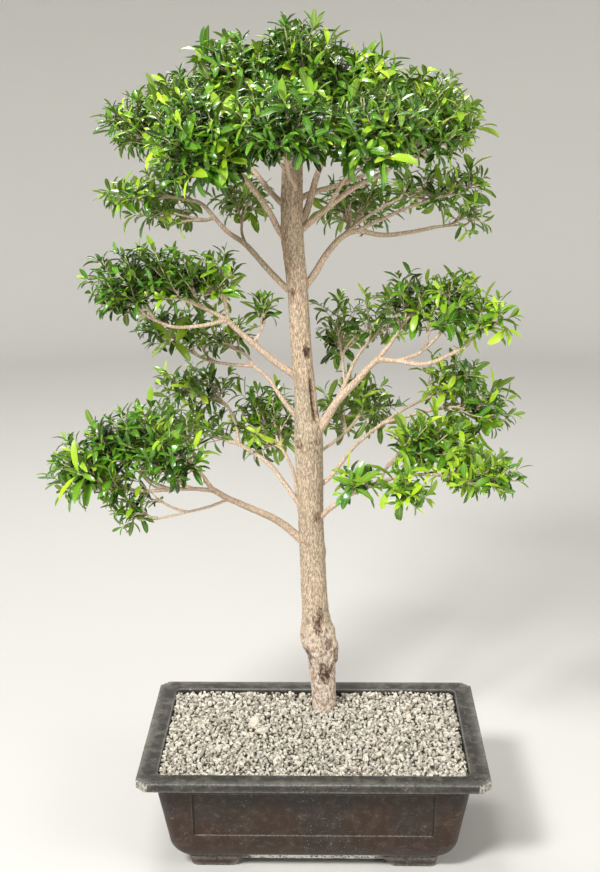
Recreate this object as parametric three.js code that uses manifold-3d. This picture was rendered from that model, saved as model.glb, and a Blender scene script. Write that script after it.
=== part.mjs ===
// A brush cherry bonsai growing in a rectangular training pot.
// Millimetres, +Z up. The origin is on the ground, under the middle of the whole piece.
import * as THREE from "three";
import Module from "manifold-3d";

const wasm = await Module();
wasm.setup();

// Driving dimensions of the pot, measured from its own centre on the ground
const GAP = 0.3; // kept between pieces that touch
const POT_HEIGHT = 152;
const RIM = { width: 457, depth: 308, height: 12, chamfer: 14, reed: 1.6, edge: 1.2 };
const OPENING = { width: 405, depth: 256, corner: 9 };
const BODY_TOP = { width: 414, depth: 265, corner: 15 };
const BODY_LOW = { width: 382, depth: 233, z: 46, corner: 15 };
const SHOULDER = { width: 335, depth: 200, z: 19 }; // where the rounded bottom meets the foot band
const BAND = { width: 333, depth: 198, z: 15, taper: 6, corner: 8, inner: 13 };
const ARCH = { rise: 11, footLength: 56, footDepth: 36, ramp: 20 };
const WALL = 4.6;
const LIP = { slope: 1, depth: 3 }; // the opening widens a little towards its upper edge
const FLOOR = { underside: 16.5, top: 20.5 };
const PANEL = { length: 314, sideLength: 165, height: 65.5, z: 91.5, sunk: 1.3 };
const DRAIN = { radius: 12, x: 95 };
const SCREEN = { size: 46, thickness: 1.2, hole: 15, bar: 5 };

// Driving dimensions of the filling and of the tree's foot
const SOIL_TOP = 122;
const GRIT_TOP = 146;
const GRIT_CELL = 17.5; // spacing of the grit's raised grains
const GRIT_RISE = 4.2;
const GRIT_HEAP = { rise: 4, from: 24, reach: 40 }; // the grit lies higher away from the trunk
const FOOT = { x: 13, y: 90, depth: 62, radius: 17.6, sides: 10, gap: 0.36 };

// The tree's own sizes. Its places are measured from the trunk's foot on the grit.
const LEAF = { length: 43, width: 16.5, root: 1.2, keel: 1.5, droop: 0.16, spread: 0.98, lift: 0.12 };
const LEAF_CUTS = [0.34, 0.72]; // shares of a leaf's length where its skin has corners
const SHOOT_AREA = 3500; // square millimetres of a spray's outline for each leafy shoot
const SHOOT_INSET = 22; // how far inside the spray's outline the twigs end
const SHOOT_LIFT = [-0.35, 0.95]; // lowest and highest way out, as shares of the spray's half height
const SHOOT_LEAVES = [0.35, 0.9]; // where along the stem the first and the last side shoot leave it
const SHOOT_SAG = 0.12;
const LONG_SHOOT = 42; // a shoot longer than this carries one more pair of leaves
const PAIRS = { long: [0.36, 0.62, 0.88], short: [0.48, 0.84] }; // places along a shoot
const HUB = { way: 0.8, sunk: 0.35 }; // a stem's end, from the limb to a point under the middle
const LIMB_SIDES = { thick: 5, thin: 4, over: 7.6 }; // limbs over this diameter have one side more
const LIMB_STEP = 58; // length of a limb between two of its rings
const COLLAR = { swell: 0.12, reach: 0.25 }; // shares of the limb's root diameter and length
const LOBES = { size: 0.035, wave: 60 }; // three slow lobes that wind up the trunk
const SWAY = { reach: 4, wave: 140 }; // the trunk's bend from front to back
const TWIG = { root: 2.5, tip: 1.7 };
const CLEARANCE = 1.2; // kept between leaves of different shoots
const GOLDEN_ANGLE = (137.5 * Math.PI) / 180; // between one shoot and the next round a spray

// Height, sideways place and diameter of the trunk
const TRUNK = [
  [6, 0, 35.2], [34, -1, 37], [62, -3, 39.5], [82, -4, 47], [98, -5, 49.5], [114, -6, 47.5],
  [134, -8, 41], [162, -12, 36.8], [206, -15, 35], [262, -17, 35], [330, -18, 36], [392, -21, 39],
  [423, -23, 34], [456, -25, 29.8], [520, -30, 28], [607, -34, 27.4], [668, -40, 30], [722, -41, 29],
  [766, -40, 27], [796, -37, 21], [826, -34, 16.5], [862, -30, 11],
];
// Knobs and old cuts on the trunk: height, angle about it in degrees, size and reach
const KNOBS = [
  [102, -20, 5, 15], [88, 200, 4.5, 13], [121, 215, 4, 12], [96, 265, 4, 13], [112, 60, 4, 16],
  [72, 130, 3, 14], [404, 300, 3.5, 20], [520, 306, -3, 8], [232, 20, 2, 18],
];
// A sunken seam down the trunk's right flank
const SEAM = { low: 420, high: 500, angle: -42, depth: 4.5, width: 0.3 };

// Each limb: diameter at its root and at its end, and the points that it passes through
const LIMBS = {
  low_left: [12.5, 8.5, [-15, 0, 236], [-32, 0, 252], [-62, -10, 281], [-96, -30, 305], [-130, -42, 325],
    [-150, -50, 340]],
  low_left_rise: [7, 5, [-150, -50, 340], [-164, -57, 364], [-184, -61, 386], [-214, -60, 396]],
  low_left_outer: [7, 5, [-148, -49, 338], [-180, -61, 344], [-214, -71, 345], [-245, -80, 347],
    [-272, -82, 354]],
  low_left_trail: [4.5, 4, [-128, -41, 323], [-155, -60, 318], [-182, -70, 314], [-206, -79, 311]],
  low_left_front: [5.5, 4.5, [-176, -60, 344], [-192, -80, 358], [-201, -96, 370]],
  low_left_back: [6, 4.5, [-158, -53, 352], [-178, -28, 360], [-203, 0, 366], [-214, 9, 372]],
  back_left: [8, 6, [-17, 0, 288], [-34, 2, 303], [-52, 15, 325], [-76, 35, 350], [-100, 55, 362],
    [-122, 70, 370], [-142, 80, 374]],
  back_left_rise: [5.5, 4.5, [-120, 69, 369], [-127, 84, 400], [-142, 95, 424], [-160, 101, 430]],
  behind_left: [7.5, 5, [-17, 4, 250], [-34, 16, 288], [-40, 30, 330], [-48, 44, 350], [-62, 62, 370]],
  mid_left_low: [8.5, 5.5, [-22, 0, 412], [-38, 2, 428], [-60, 10, 456], [-76, 15, 479], [-95, 20, 494]],
  mid_left_far: [5.5, 4.5, [-95, 20, 494], [-130, 33, 494], [-162, 44, 498], [-185, 45, 510]],
  mid_left_near: [5, 4, [-95, 20, 494], [-106, 34, 506], [-122, 46, 512]],
  mid_left: [11, 8, [-28, 0, 472], [-42, -2, 488], [-66, -10, 507], [-95, -20, 535], [-118, -30, 558],
    [-126, -35, 568]],
  mid_left_rise: [6, 5, [-125, -34, 566], [-127, -36, 584], [-130, -38, 602]],
  mid_left_outer: [6.5, 4.5, [-126, -35, 568], [-160, -50, 563], [-196, -60, 564], [-226, -66, 578]],
  mid_left_top: [6.5, 4.5, [-126, -35, 568], [-152, -46, 584], [-188, -57, 602]],
  mid_left_spur: [5.5, 4, [-94, -19, 534], [-85, -13, 545], [-80, -8, 556]],
  high_left: [10, 5.5, [-34, 0, 592], [-52, 1, 607], [-80, 10, 635], [-105, 20, 661], [-130, 34, 676],
    [-147, 41, 694], [-165, 52, 711], [-190, 60, 717]],
  high_left_low: [5.5, 4.5, [-146, 41, 693], [-160, 56, 688], [-176, 72, 686]],
  high_left_inner: [5, 4, [-104, 20, 660], [-110, 42, 674], [-111, 62, 684]],
  crown_left: [10, 6, [-41, 0, 662], [-56, -2, 678], [-70, -10, 705], [-86, -20, 731], [-104, -30, 754],
    [-138, -45, 768], [-166, -40, 782]],
  crown_left_front: [7, 5, [-85, -19, 729], [-100, -50, 752], [-118, -92, 778]],
  crown_left_back: [9, 5.5, [-41, 2, 702], [-56, 4, 717], [-72, 20, 732], [-96, 50, 757], [-135, 80, 782]],
  crown_right: [10.5, 6, [-41, 0, 668], [-25, -2, 685], [5, -15, 711], [40, -30, 739], [76, -40, 758],
    [100, -38, 774]],
  crown_right_front: [6.5, 5, [6, -15, 712], [24, -52, 746], [44, -94, 780]],
  second_leader: [12, 6, [-41, 0, 676], [-27, 2, 694], [-17, 6, 720], [-8, 12, 752], [10, 18, 794],
    [24, 16, 826]],
  crown_right_back: [9, 5.5, [-41, 2, 712], [-24, 6, 725], [20, 30, 737], [62, 58, 752], [86, 76, 774]],
  crown_front: [8, 5, [-40, 0, 725], [-36, -18, 738], [-42, -55, 756], [-44, -100, 776], [-42, -120, 788]],
  crown_back: [9, 5.5, [-40, 2, 733], [-40, 22, 750], [-38, 60, 778], [-36, 102, 802]],
  crown_top_left: [7, 5, [-36, 0, 786], [-52, -5, 806], [-68, -9, 832], [-86, -14, 852]],
  high_right: [11, 5.5, [-34, 0, 598], [-18, 2, 614], [5, 18, 648], [26, 30, 669], [44, 37, 675],
    [80, 50, 668], [116, 62, 670], [152, 70, 676]],
  high_right_mid: [6, 4.5, [25, 29, 669], [54, 46, 690], [84, 62, 706], [108, 70, 716]],
  high_right_front: [6, 4.5, [42, 36, 675], [72, 33, 688], [100, 28, 702], [138, 20, 717]],
  high_right_back: [5.5, 4.5, [24, 29, 668], [36, 58, 676], [48, 84, 680]],
  mid_right: [14, 9, [-21, 0, 392], [-4, -1, 413], [20, -11, 454], [44, -21, 482], [61, -30, 504],
    [72, -35, 515]],
  mid_right_tip: [8, 4.5, [72, -35, 515], [97, -41, 514], [132, -51, 512], [168, -60, 528],
    [198, -67, 552]],
  mid_right_top: [6, 4.5, [98, -41, 514], [126, -46, 526], [152, -48, 552], [160, -49, 570]],
  mid_right_inner: [7, 4.5, [71, -34, 514], [89, -31, 536], [106, -26, 562]],
  mid_right_back: [7, 5, [12, -8, 442], [29, 14, 470], [44, 38, 499], [60, 54, 518]],
  mid_right_rear: [5, 4.5, [29, 14, 470], [27, 44, 488], [24, 72, 508]],
  low_right_back: [5.5, 4.5, [-19, 0, 368], [0, 6, 380], [20, 25, 390], [37, 55, 398], [50, 80, 410]],
  low_right: [7.5, 5.5, [-18, 0, 322], [4, 3, 336], [22, 10, 356], [40, 15, 379], [58, 20, 395],
    [82, 26, 412]],
  low_right_top: [5.5, 4.5, [82, 26, 412], [110, 30, 430], [142, 34, 446]],
  low_right_out: [5.5, 4.5, [80, 26, 411], [106, 22, 420], [134, 11, 431], [166, 2, 440]],
  bottom_right: [8.5, 6.5, [-17, 0, 272], [-2, -4, 287], [8, -12, 300], [26, -21, 315], [42, -31, 330],
    [76, -50, 350]],
  bottom_right_tip: [6, 4.5, [76, -50, 350], [106, -64, 363], [142, -75, 368], [172, -80, 367]],
  bottom_right_mid: [5.5, 4.5, [75, -49, 349], [85, -45, 370], [102, -38, 386]],
  bottom_right_front: [5.5, 4.5, [75, -50, 350], [86, -70, 353], [94, -86, 355]],
  bottom_right_spur: [4.5, 4, [36, -28, 325], [42, -40, 334], [46, -50, 342]],
};

// Each spray: the limb that carries it, its middle, and half of its width and height
const SPRAYS = {
  low_left_tip: ["low_left_outer", [-310, -80, 374], 54, 48],
  low_left_top: ["low_left_rise", [-258, -58, 414], 62, 46],
  low_left_inner: ["low_left_front", [-205, -108, 400], 48, 42],
  low_left_back: ["low_left_back", [-224, 30, 405], 52, 36],
  low_left_trail: ["low_left_trail", [-248, -86, 326], 40, 46],
  back_left_far: ["back_left_rise", [-184, 112, 446], 60, 38],
  back_left_low: ["back_left", [-176, 100, 388], 54, 32],
  back_left_trunk: ["behind_left", [-84, 96, 410], 50, 54],
  mid_left_tip: ["mid_left_outer", [-264, -76, 612], 46, 48],
  mid_left_top: ["mid_left_top", [-216, -54, 632], 56, 44],
  mid_left_inner: ["mid_left_rise", [-152, -38, 620], 44, 44],
  mid_left_low: ["mid_left_far", [-212, 46, 544], 52, 32],
  mid_left_under: ["mid_left_near", [-140, 64, 526], 46, 36],
  mid_left_spur: ["mid_left_spur", [-80, 0, 576], 26, 36],
  high_left_tip: ["high_left", [-250, 60, 724], 58, 30],
  high_left_low: ["high_left_low", [-214, 98, 694], 52, 30],
  high_left_inner: ["high_left_inner", [-106, 96, 712], 44, 40],
  crown_left: ["crown_left", [-218, -24, 820], 63, 43],
  crown_left_back: ["crown_left_back", [-178, 105, 842], 64, 48],
  crown_left_front: ["crown_left_front", [-148, -128, 808], 62, 62],
  crown_front: ["crown_front", [-46, -166, 826], 66, 56],
  crown_right_front: ["crown_right_front", [62, -132, 816], 62, 56],
  crown_right: ["crown_right", [148, -34, 816], 66, 48],
  crown_right_back: ["crown_right_back", [128, 98, 838], 64, 48],
  crown_back: ["crown_back", [-35, 152, 846], 70, 60],
  crown_top_left: ["crown_top_left", [-112, -22, 888], 58, 46],
  crown_top: ["leader", [-34, -8, 906], 58, 44],
  crown_top_right: ["second_leader", [50, 12, 876], 60, 48],
  high_right_tip: ["high_right", [196, 76, 690], 42, 34],
  high_right_mid: ["high_right_mid", [140, 84, 726], 54, 40],
  high_right_front: ["high_right_front", [186, 12, 740], 40, 34],
  high_right_back: ["high_right_back", [52, 118, 704], 54, 42],
  mid_right_tip: ["mid_right_tip", [220, -72, 578], 40, 38],
  mid_right_top: ["mid_right_top", [168, -50, 594], 48, 50],
  mid_right_inner: ["mid_right_inner", [114, -20, 588], 46, 44],
  mid_right_back: ["mid_right_back", [76, 70, 554], 42, 44],
  mid_right_rear: ["mid_right_rear", [22, 106, 542], 40, 46],
  low_right_top: ["low_right_top", [178, 40, 470], 50, 40],
  low_right_out: ["low_right_out", [218, 0, 438], 46, 42],
  low_right_back: ["low_right_back", [58, 116, 410], 54, 48],
  low_right_mid: ["bottom_right_mid", [138, -30, 408], 54, 40],
  low_right_tip: ["bottom_right_tip", [222, -84, 372], 56, 34],
  low_right_front: ["bottom_right_front", [106, -118, 360], 36, 44],
  low_right_near: ["bottom_right_spur", [48, -66, 354], 32, 26],
};
const SEED = 2024;
const SEED_STEP = 7919; // between the draws of one spray and the next
const SPRAY_DEPTH = 0.92; // a spray's depth for its width
const NEW_LEAF_SPRAYS = /^(low_right|mid_right_tip|high_right_tip)/;

const MATERIALS = {
  pot: new THREE.MeshStandardMaterial({ color: 0x37322e, roughness: 0.5 }),
  screen: new THREE.MeshStandardMaterial({ color: 0x1c1c1c, roughness: 0.6 }),
  soil: new THREE.MeshStandardMaterial({ color: 0x3d2f24, roughness: 1 }),
  grit: new THREE.MeshStandardMaterial({ color: 0xb8b2a6, roughness: 0.95 }),
  bark: new THREE.MeshStandardMaterial({ color: 0xa88f76, roughness: 0.9 }),
  leaf: new THREE.MeshStandardMaterial({ color: 0x2f5f22, roughness: 0.35 }),
  newLeaf: new THREE.MeshStandardMaterial({ color: 0x6da12c, roughness: 0.4 }),
};

// A repeatable draw from 0 up to 1
function makeDraw(seed) {
  let state = seed;
  return () => {
    state = (state * 1664525 + 1013904223) % 4294967296;
    return state / 4294967296;
  };
}

const vec = (list) => new THREE.Vector3(...list);
const radians = (degrees) => (degrees * Math.PI) / 180;
const mix = THREE.MathUtils.lerp;

function solid(points, faces) {
  const vertProperties = new Float32Array(points.flatMap((p) => [p.x, p.y, p.z]));
  const triVerts = new Uint32Array(faces);
  return new wasm.Manifold(new wasm.Mesh({ numProp: 3, vertProperties, triVerts }));
}

function middle(ring) {
  const sum = new THREE.Vector3();
  ring.forEach((p) => sum.add(p));
  return sum.divideScalar(ring.length);
}

// A closed skin over rings with the same number of points, each turning to the left about the way
// that the rings follow each other. A fan closes each end, about the end's middle or about a tip.
function loft(rings, tip = middle(rings.at(-1))) {
  const count = rings[0].length;
  const last = (rings.length - 1) * count;
  const points = rings.flat();
  const faces = [];
  for (let i = 0; i < count; i++) {
    const next = (i + 1) % count;
    for (let row = 0; row < last; row += count) {
      faces.push(row + i, row + next, row + next + count);
      faces.push(row + i, row + next + count, row + i + count);
    }
    faces.push(points.length, next, i);
    faces.push(points.length + 1, last + i, last + next);
  }
  return solid([...points, middle(rings[0]), tip], faces);
}

// The same thing for a geometry of three.js whose faces share their corners
function fromGeometry(geometry) {
  const flat = geometry.index ? geometry.toNonIndexed() : geometry;
  const at = flat.getAttribute("position");
  const seen = new Map();
  const points = [];
  const faces = [];
  for (let i = 0; i < at.count; i++) {
    const key = [at.getX(i), at.getY(i), at.getZ(i)].map((v) => v.toFixed(3)).join();
    if (!seen.has(key)) {
      seen.set(key, points.length);
      points.push(new THREE.Vector3().fromBufferAttribute(at, i));
    }
    faces.push(seen.get(key));
  }
  return solid(points, faces);
}

function toMesh(body, name, material) {
  const mesh = body.getMesh();
  const geometry = new THREE.BufferGeometry();
  geometry.setAttribute("position", new THREE.BufferAttribute(new Float32Array(mesh.vertProperties), 3));
  geometry.setIndex(new THREE.BufferAttribute(new Uint32Array(mesh.triVerts), 1));
  const made = new THREE.Mesh(geometry.toNonIndexed(), material);
  made.geometry.computeVertexNormals();
  made.name = name;
  return made;
}

// A level rectangle with round corners, turning to the left seen from above
function roundedRing(width, depth, corner, z, steps = 3) {
  const ring = [];
  for (let quarter = 0; quarter < 4; quarter++) {
    const signX = quarter === 0 || quarter === 3 ? 1 : -1;
    const signY = quarter < 2 ? 1 : -1;
    for (let i = 0; i <= steps; i++) {
      const angle = radians(90 * (quarter + i / steps));
      const x = signX * (width / 2 - corner) + corner * Math.cos(angle);
      const y = signY * (depth / 2 - corner) + corner * Math.sin(angle);
      ring.push(new THREE.Vector3(x, y, z));
    }
  }
  return ring;
}

// The rim's outline: a rectangle whose corners are cut off and carry three upright reeds
function rimRing(inset, z) {
  const ring = [];
  const bumps = 6;
  for (let quarter = 0; quarter < 4; quarter++) {
    const signX = quarter === 0 || quarter === 3 ? 1 : -1;
    const signY = quarter < 2 ? 1 : -1;
    const turned = signX !== signY;
    for (let i = 0; i <= bumps; i++) {
      const t = (turned ? bumps - i : i) / bumps;
      const proud = ((i % 2) * RIM.reed - inset) / Math.SQRT2;
      const x = RIM.width / 2 - RIM.chamfer * t + proud;
      const y = RIM.depth / 2 - RIM.chamfer * (1 - t) + proud;
      ring.push(new THREE.Vector3(signX * x, signY * y, z));
    }
  }
  return ring;
}

// The pot's skin, or a skin that lies inside it by an inset: a foot band, a rounded bottom and
// walls that lean out. It starts at the lowest height asked for and ends at the highest.
function potRings(inset, low, high, band = true) {
  const rings = [];
  const ring = (size, corner, z) =>
    rings.push(roundedRing(size[0] - 2 * inset, size[1] - 2 * inset, Math.max(corner - inset / 2, 4), z));
  if (band) {
    ring([BAND.width - BAND.taper, BAND.depth - BAND.taper], BAND.corner, 0);
    ring([BAND.width, BAND.depth], BAND.corner, BAND.z);
  }
  const rise = BODY_LOW.z - low;
  const steps = 3;
  for (let i = 0; i <= steps; i++) {
    const angle = radians((90 * i) / steps);
    const out = Math.sin(angle);
    const width = mix(SHOULDER.width, BODY_LOW.width, out);
    const depth = mix(SHOULDER.depth, BODY_LOW.depth, out);
    ring([width, depth], mix(BAND.corner, BODY_LOW.corner, out), BODY_LOW.z - rise * Math.cos(angle));
  }
  const top = POT_HEIGHT - RIM.height;
  const t = (Math.min(high, top) - BODY_LOW.z) / (top - BODY_LOW.z);
  const wide = [mix(BODY_LOW.width, BODY_TOP.width, t), mix(BODY_LOW.depth, BODY_TOP.depth, t)];
  ring(wide, BODY_TOP.corner, Math.min(high, top));
  return rings;
}

// A channel with sloping ends that lifts the foot band between two feet
function archSolid(halfLength, foot, through) {
  const low = halfLength - foot;
  const high = low - ARCH.ramp;
  const bottom = -1;
  const shape = new THREE.Shape();
  shape.moveTo(-low, bottom);
  shape.lineTo(low, bottom);
  shape.lineTo(low, 0.4);
  shape.quadraticCurveTo(low - ARCH.ramp * 0.35, 1.2, (low + high) / 2, ARCH.rise / 2);
  shape.quadraticCurveTo(high + ARCH.ramp * 0.3, ARCH.rise - 0.8, high, ARCH.rise);
  shape.lineTo(-high, ARCH.rise);
  shape.quadraticCurveTo(-high - ARCH.ramp * 0.3, ARCH.rise - 0.8, -(low + high) / 2, ARCH.rise / 2);
  shape.quadraticCurveTo(-low + ARCH.ramp * 0.35, 1.2, -low, 0.4);
  const settings = { depth: through, bevelEnabled: false, curveSegments: 2 };
  const geometry = new THREE.ExtrudeGeometry(shape, settings);
  geometry.translate(0, 0, -through / 2);
  geometry.rotateX(Math.PI / 2);
  return geometry;
}

// A slab that lies along a leaning wall and sinks a panel into it
function panelCut(length, halfTop, halfLow, turn) {
  const wallHeight = POT_HEIGHT - RIM.height - BODY_LOW.z;
  const lean = Math.atan2(halfTop - halfLow, wallHeight);
  const t = (PANEL.z - BODY_LOW.z) / wallHeight;
  const thickness = 20;
  const geometry = new THREE.BoxGeometry(length, thickness, PANEL.height);
  geometry.translate(0, -thickness / 2 + PANEL.sunk, 0);
  geometry.rotateX(lean);
  geometry.translate(0, -mix(halfLow, halfTop, t), PANEL.z);
  geometry.rotateZ(turn);
  return fromGeometry(geometry);
}

function makePot() {
  const top = POT_HEIGHT - RIM.height;
  const rim = loft([
    rimRing(RIM.edge, top),
    rimRing(0, top + RIM.edge),
    rimRing(0, POT_HEIGHT - RIM.edge),
    rimRing(RIM.edge, POT_HEIGHT),
  ]);
  const cavity = loft([
    ...potRings(WALL, FLOOR.top, top, false),
    roundedRing(OPENING.width - LIP.slope, OPENING.depth - LIP.slope, OPENING.corner, POT_HEIGHT - LIP.depth),
    roundedRing(OPENING.width, OPENING.depth, OPENING.corner, POT_HEIGHT + 1),
  ]);
  let pot = loft(potRings(0, SHOULDER.z, top)).add(rim).subtract(cavity);
  const recess = roundedRing(BAND.width - 2 * BAND.inner, BAND.depth - 2 * BAND.inner, 4, -1, 2);
  pot = pot.subtract(loft([recess, recess.map((p) => new THREE.Vector3(p.x, p.y, FLOOR.underside))]));
  const across = archSolid(BAND.width / 2, ARCH.footLength, BAND.depth + 20);
  const along = archSolid(BAND.depth / 2, ARCH.footDepth, BAND.width + 20).rotateZ(Math.PI / 2);
  pot = pot.subtract(fromGeometry(across)).subtract(fromGeometry(along));
  const frontTop = BODY_TOP.depth / 2;
  const frontLow = BODY_LOW.depth / 2;
  const sideTop = BODY_TOP.width / 2;
  const sideLow = BODY_LOW.width / 2;
  [0, Math.PI].forEach((turn) => {
    pot = pot.subtract(panelCut(PANEL.length, frontTop, frontLow, turn));
    pot = pot.subtract(panelCut(PANEL.sideLength, sideTop, sideLow, turn + Math.PI / 2));
  });
  [-DRAIN.x, DRAIN.x].forEach((x) => {
    const hole = new THREE.CylinderGeometry(DRAIN.radius, DRAIN.radius, 30, 16);
    hole.rotateX(Math.PI / 2).translate(x, 0, FLOOR.top);
    pot = pot.subtract(fromGeometry(hole));
  });
  return pot;
}

function makeScreen(x) {
  const { size, thickness, hole, bar } = SCREEN;
  const z = FLOOR.top + GAP + thickness / 2;
  let screen = fromGeometry(new THREE.BoxGeometry(size, size, thickness).translate(x, 0, z));
  const step = (hole + bar) / 2;
  for (const dx of [-step, step])
    for (const dy of [-step, step]) {
      const opening = new THREE.BoxGeometry(hole, hole, 3 * thickness).translate(x + dx, dy, z);
      screen = screen.subtract(fromGeometry(opening));
    }
  return screen;
}

// The plain hole that the trunk's buried foot stands in
function footHole() {
  const place = new THREE.Vector3(FOOT.x, FOOT.y, 0);
  const ring = (z) => footRing(FOOT.radius + FOOT.gap, z).map((p) => p.add(place));
  return loft([ring(GRIT_TOP - FOOT.depth - GAP), ring(GRIT_TOP + 30)]);
}

function footRing(radius, z) {
  return Array.from({ length: FOOT.sides }, (_, i) => {
    const angle = (2 * Math.PI * i) / FOOT.sides;
    return new THREE.Vector3(radius * Math.cos(angle), radius * Math.sin(angle), z);
  });
}

function makeSoil() {
  let soil = loft(potRings(WALL + GAP, FLOOR.top + GAP, SOIL_TOP, false));
  [-DRAIN.x, DRAIN.x].forEach((x) => {
    const size = SCREEN.size + 2 * GAP;
    const pocket = new THREE.BoxGeometry(size, size, 2 * (SCREEN.thickness + 3 * GAP));
    soil = soil.subtract(fromGeometry(pocket.translate(x, 0, FLOOR.top)));
  });
  return soil.subtract(footHole());
}

// The grit: a level layer whose top rises to a grain at every second point of a grid
function makeGrit() {
  const draw = makeDraw(11);
  const rings = potRings(WALL + GAP, FLOOR.top, SOIL_TOP, false);
  const low = rings.at(-1)[0];
  const lowHalf = [Math.max(...rings.at(-1).map((p) => p.x)), Math.max(...rings.at(-1).map((p) => p.y))];
  const lean = 2.6; // the layer widens upwards with the wall
  const columns = 2 * Math.round(lowHalf[0] / GRIT_CELL);
  const rows = 2 * Math.round(lowHalf[1] / GRIT_CELL);
  const bottomZ = low.z + GAP;
  const top = [];
  for (let j = 0; j <= rows; j++)
    for (let i = 0; i <= columns; i++) {
      const edge = i === 0 || j === 0 || i === columns || j === rows;
      const wander = edge ? 0 : GRIT_CELL * 0.32;
      const u = (2 * i) / columns - 1;
      const v = (2 * j) / rows - 1;
      const pull = Math.abs(u) === 1 && Math.abs(v) === 1 ? 5 : 0;
      const x = u * (lowHalf[0] + lean - pull) + wander * (draw() - 0.5) * 2;
      const y = v * (lowHalf[1] + lean - pull) + wander * (draw() - 0.5) * 2;
      const grain = (i + j) % 2 === 0 ? 0.4 + 0.6 * draw() : 0.35 * draw();
      const away = Math.hypot(x - FOOT.x, y - FOOT.y);
      const heap = GRIT_HEAP.rise * Math.min(1, Math.max(0, (away - GRIT_HEAP.from) / GRIT_HEAP.reach));
      top.push(new THREE.Vector3(x, y, GRIT_TOP + heap - GRIT_RISE * (edge ? 0.8 : 0.75 - grain)));
    }
  const at = (i, j) => j * (columns + 1) + i;
  const faces = [];
  for (let j = 0; j < rows; j++)
    for (let i = 0; i < columns; i++) {
      const [a, b, c, d] = [at(i, j), at(i + 1, j), at(i + 1, j + 1), at(i, j + 1)];
      if ((i + j) % 2 === 0) faces.push(a, b, c, a, c, d);
      else faces.push(a, b, d, b, c, d);
    }
  const border = [];
  for (let i = 0; i < columns; i++) border.push(at(i, 0));
  for (let j = 0; j < rows; j++) border.push(at(columns, j));
  for (let i = columns; i > 0; i--) border.push(at(i, rows));
  for (let j = rows; j > 0; j--) border.push(at(0, j));
  const points = [...top];
  const shrink = (p, half) => p * (half / (half + lean));
  border.forEach((index) => {
    const p = top[index];
    points.push(new THREE.Vector3(shrink(p.x, lowHalf[0]), shrink(p.y, lowHalf[1]), bottomZ));
  });
  const first = top.length;
  border.forEach((index, k) => {
    const next = (k + 1) % border.length;
    faces.push(index, first + k, first + next, index, first + next, border[next]);
    faces.push(points.length, first + next, first + k);
  });
  points.push(new THREE.Vector3(0, 0, bottomZ));
  return solid(points, faces).subtract(footHole());
}

// A tube along a curve whose radius is a function of the way along it, from 0 to 1
function tube(curve, steps, sides, radius) {
  const frames = curve.computeFrenetFrames(steps, false);
  const rings = [];
  for (let k = 0; k <= steps; k++) {
    const centre = curve.getPointAt(k / steps);
    const r = radius(k / steps);
    rings.push(
      Array.from({ length: sides }, (_, i) => {
        const angle = (2 * Math.PI * i) / sides;
        return centre
          .clone()
          .addScaledVector(frames.normals[k], r * Math.cos(angle))
          .addScaledVector(frames.binormals[k], r * Math.sin(angle));
      }),
    );
  }
  return loft(rings);
}

function trunkSway(z) {
  return SWAY.reach * Math.sin(z / SWAY.wave);
}

// One level ring of the trunk, with its knobs and the sunken seam
function trunkRing([z, x, diameter], sides) {
  return Array.from({ length: sides }, (_, i) => {
    const angle = (2 * Math.PI * i) / sides;
    const lobes = LOBES.size * Math.sin(3 * angle + z / LOBES.wave) * Math.min(1, z / 40);
    let radius = (diameter / 2) * (1 + lobes);
    for (const [height, degrees, size, reach] of KNOBS) {
      const turn = Math.abs(((angle - radians(degrees) + 3 * Math.PI) % (2 * Math.PI)) - Math.PI);
      radius += size * Math.exp(-(((z - height) / reach) ** 2) - (turn * 1.3) ** 2);
    }
    if (z >= SEAM.low && z <= SEAM.high) {
      const turn = Math.abs(((angle - radians(SEAM.angle) + 3 * Math.PI) % (2 * Math.PI)) - Math.PI);
      radius -= SEAM.depth * Math.exp(-((turn / SEAM.width) ** 2));
    }
    return new THREE.Vector3(x + radius * Math.cos(angle), trunkSway(z) + radius * Math.sin(angle), z);
  });
}

function limbCurve(name) {
  return new THREE.CatmullRomCurve3(LIMBS[name].slice(2).map(vec), false, "centripetal");
}

// A limb swells into a collar at its root and thins evenly to its end
function makeLimb(name) {
  const [root, end] = LIMBS[name];
  const curve = limbCurve(name);
  const steps = Math.max(2, Math.round(curve.getLength() / LIMB_STEP));
  const sides = root > LIMB_SIDES.over ? LIMB_SIDES.thick : LIMB_SIDES.thin;
  const swell = (t) => COLLAR.swell * root * Math.max(0, 1 - t / COLLAR.reach);
  return tube(curve, steps, sides, (t) => mix(root, end, t) / 2 + swell(t));
}

// The upper end of the trunk carries the topmost spray
function sprayRoot(limb) {
  if (limb === "leader") {
    const [z, x, diameter] = TRUNK.at(-1);
    const end = new THREE.Vector3(x, trunkSway(z), z);
    return { end, way: new THREE.Vector3(0, 0, 1), radius: diameter / 2 };
  }
  const curve = limbCurve(limb);
  return { end: curve.getPointAt(1), way: curve.getTangentAt(1), radius: LIMBS[limb][1] / 2 };
}

// The direction across a way that lies nearest to a hint
function across(way, hint) {
  return hint.clone().addScaledVector(way, -hint.dot(way)).normalize();
}

// One cut through a blade: its two edges and its keel, at a share of its length. Outline, keel and
// droop follow from the share, and extra makes the blade thicker all round.
function bladeRing({ root, along, up, length }, share, extra = 0) {
  const side = new THREE.Vector3().crossVectors(up, along);
  const outline = 3.9 * share * (1 - share) ** 0.9 + 0.06;
  const half = (LEAF.width * outline * length) / LEAF.length / 2 + extra;
  const keel = LEAF.keel * (0.6 + 0.4 * outline) + 2 * extra;
  const centre = root
    .clone()
    .addScaledVector(along, (length + extra) * share)
    .addScaledVector(up, extra - LEAF.droop * length * share * share);
  return [[half, 0], [-half, 0], [0, -keel]].map(([out, rise]) =>
    centre.clone().addScaledVector(side, out).addScaledVector(up, rise),
  );
}

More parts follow.
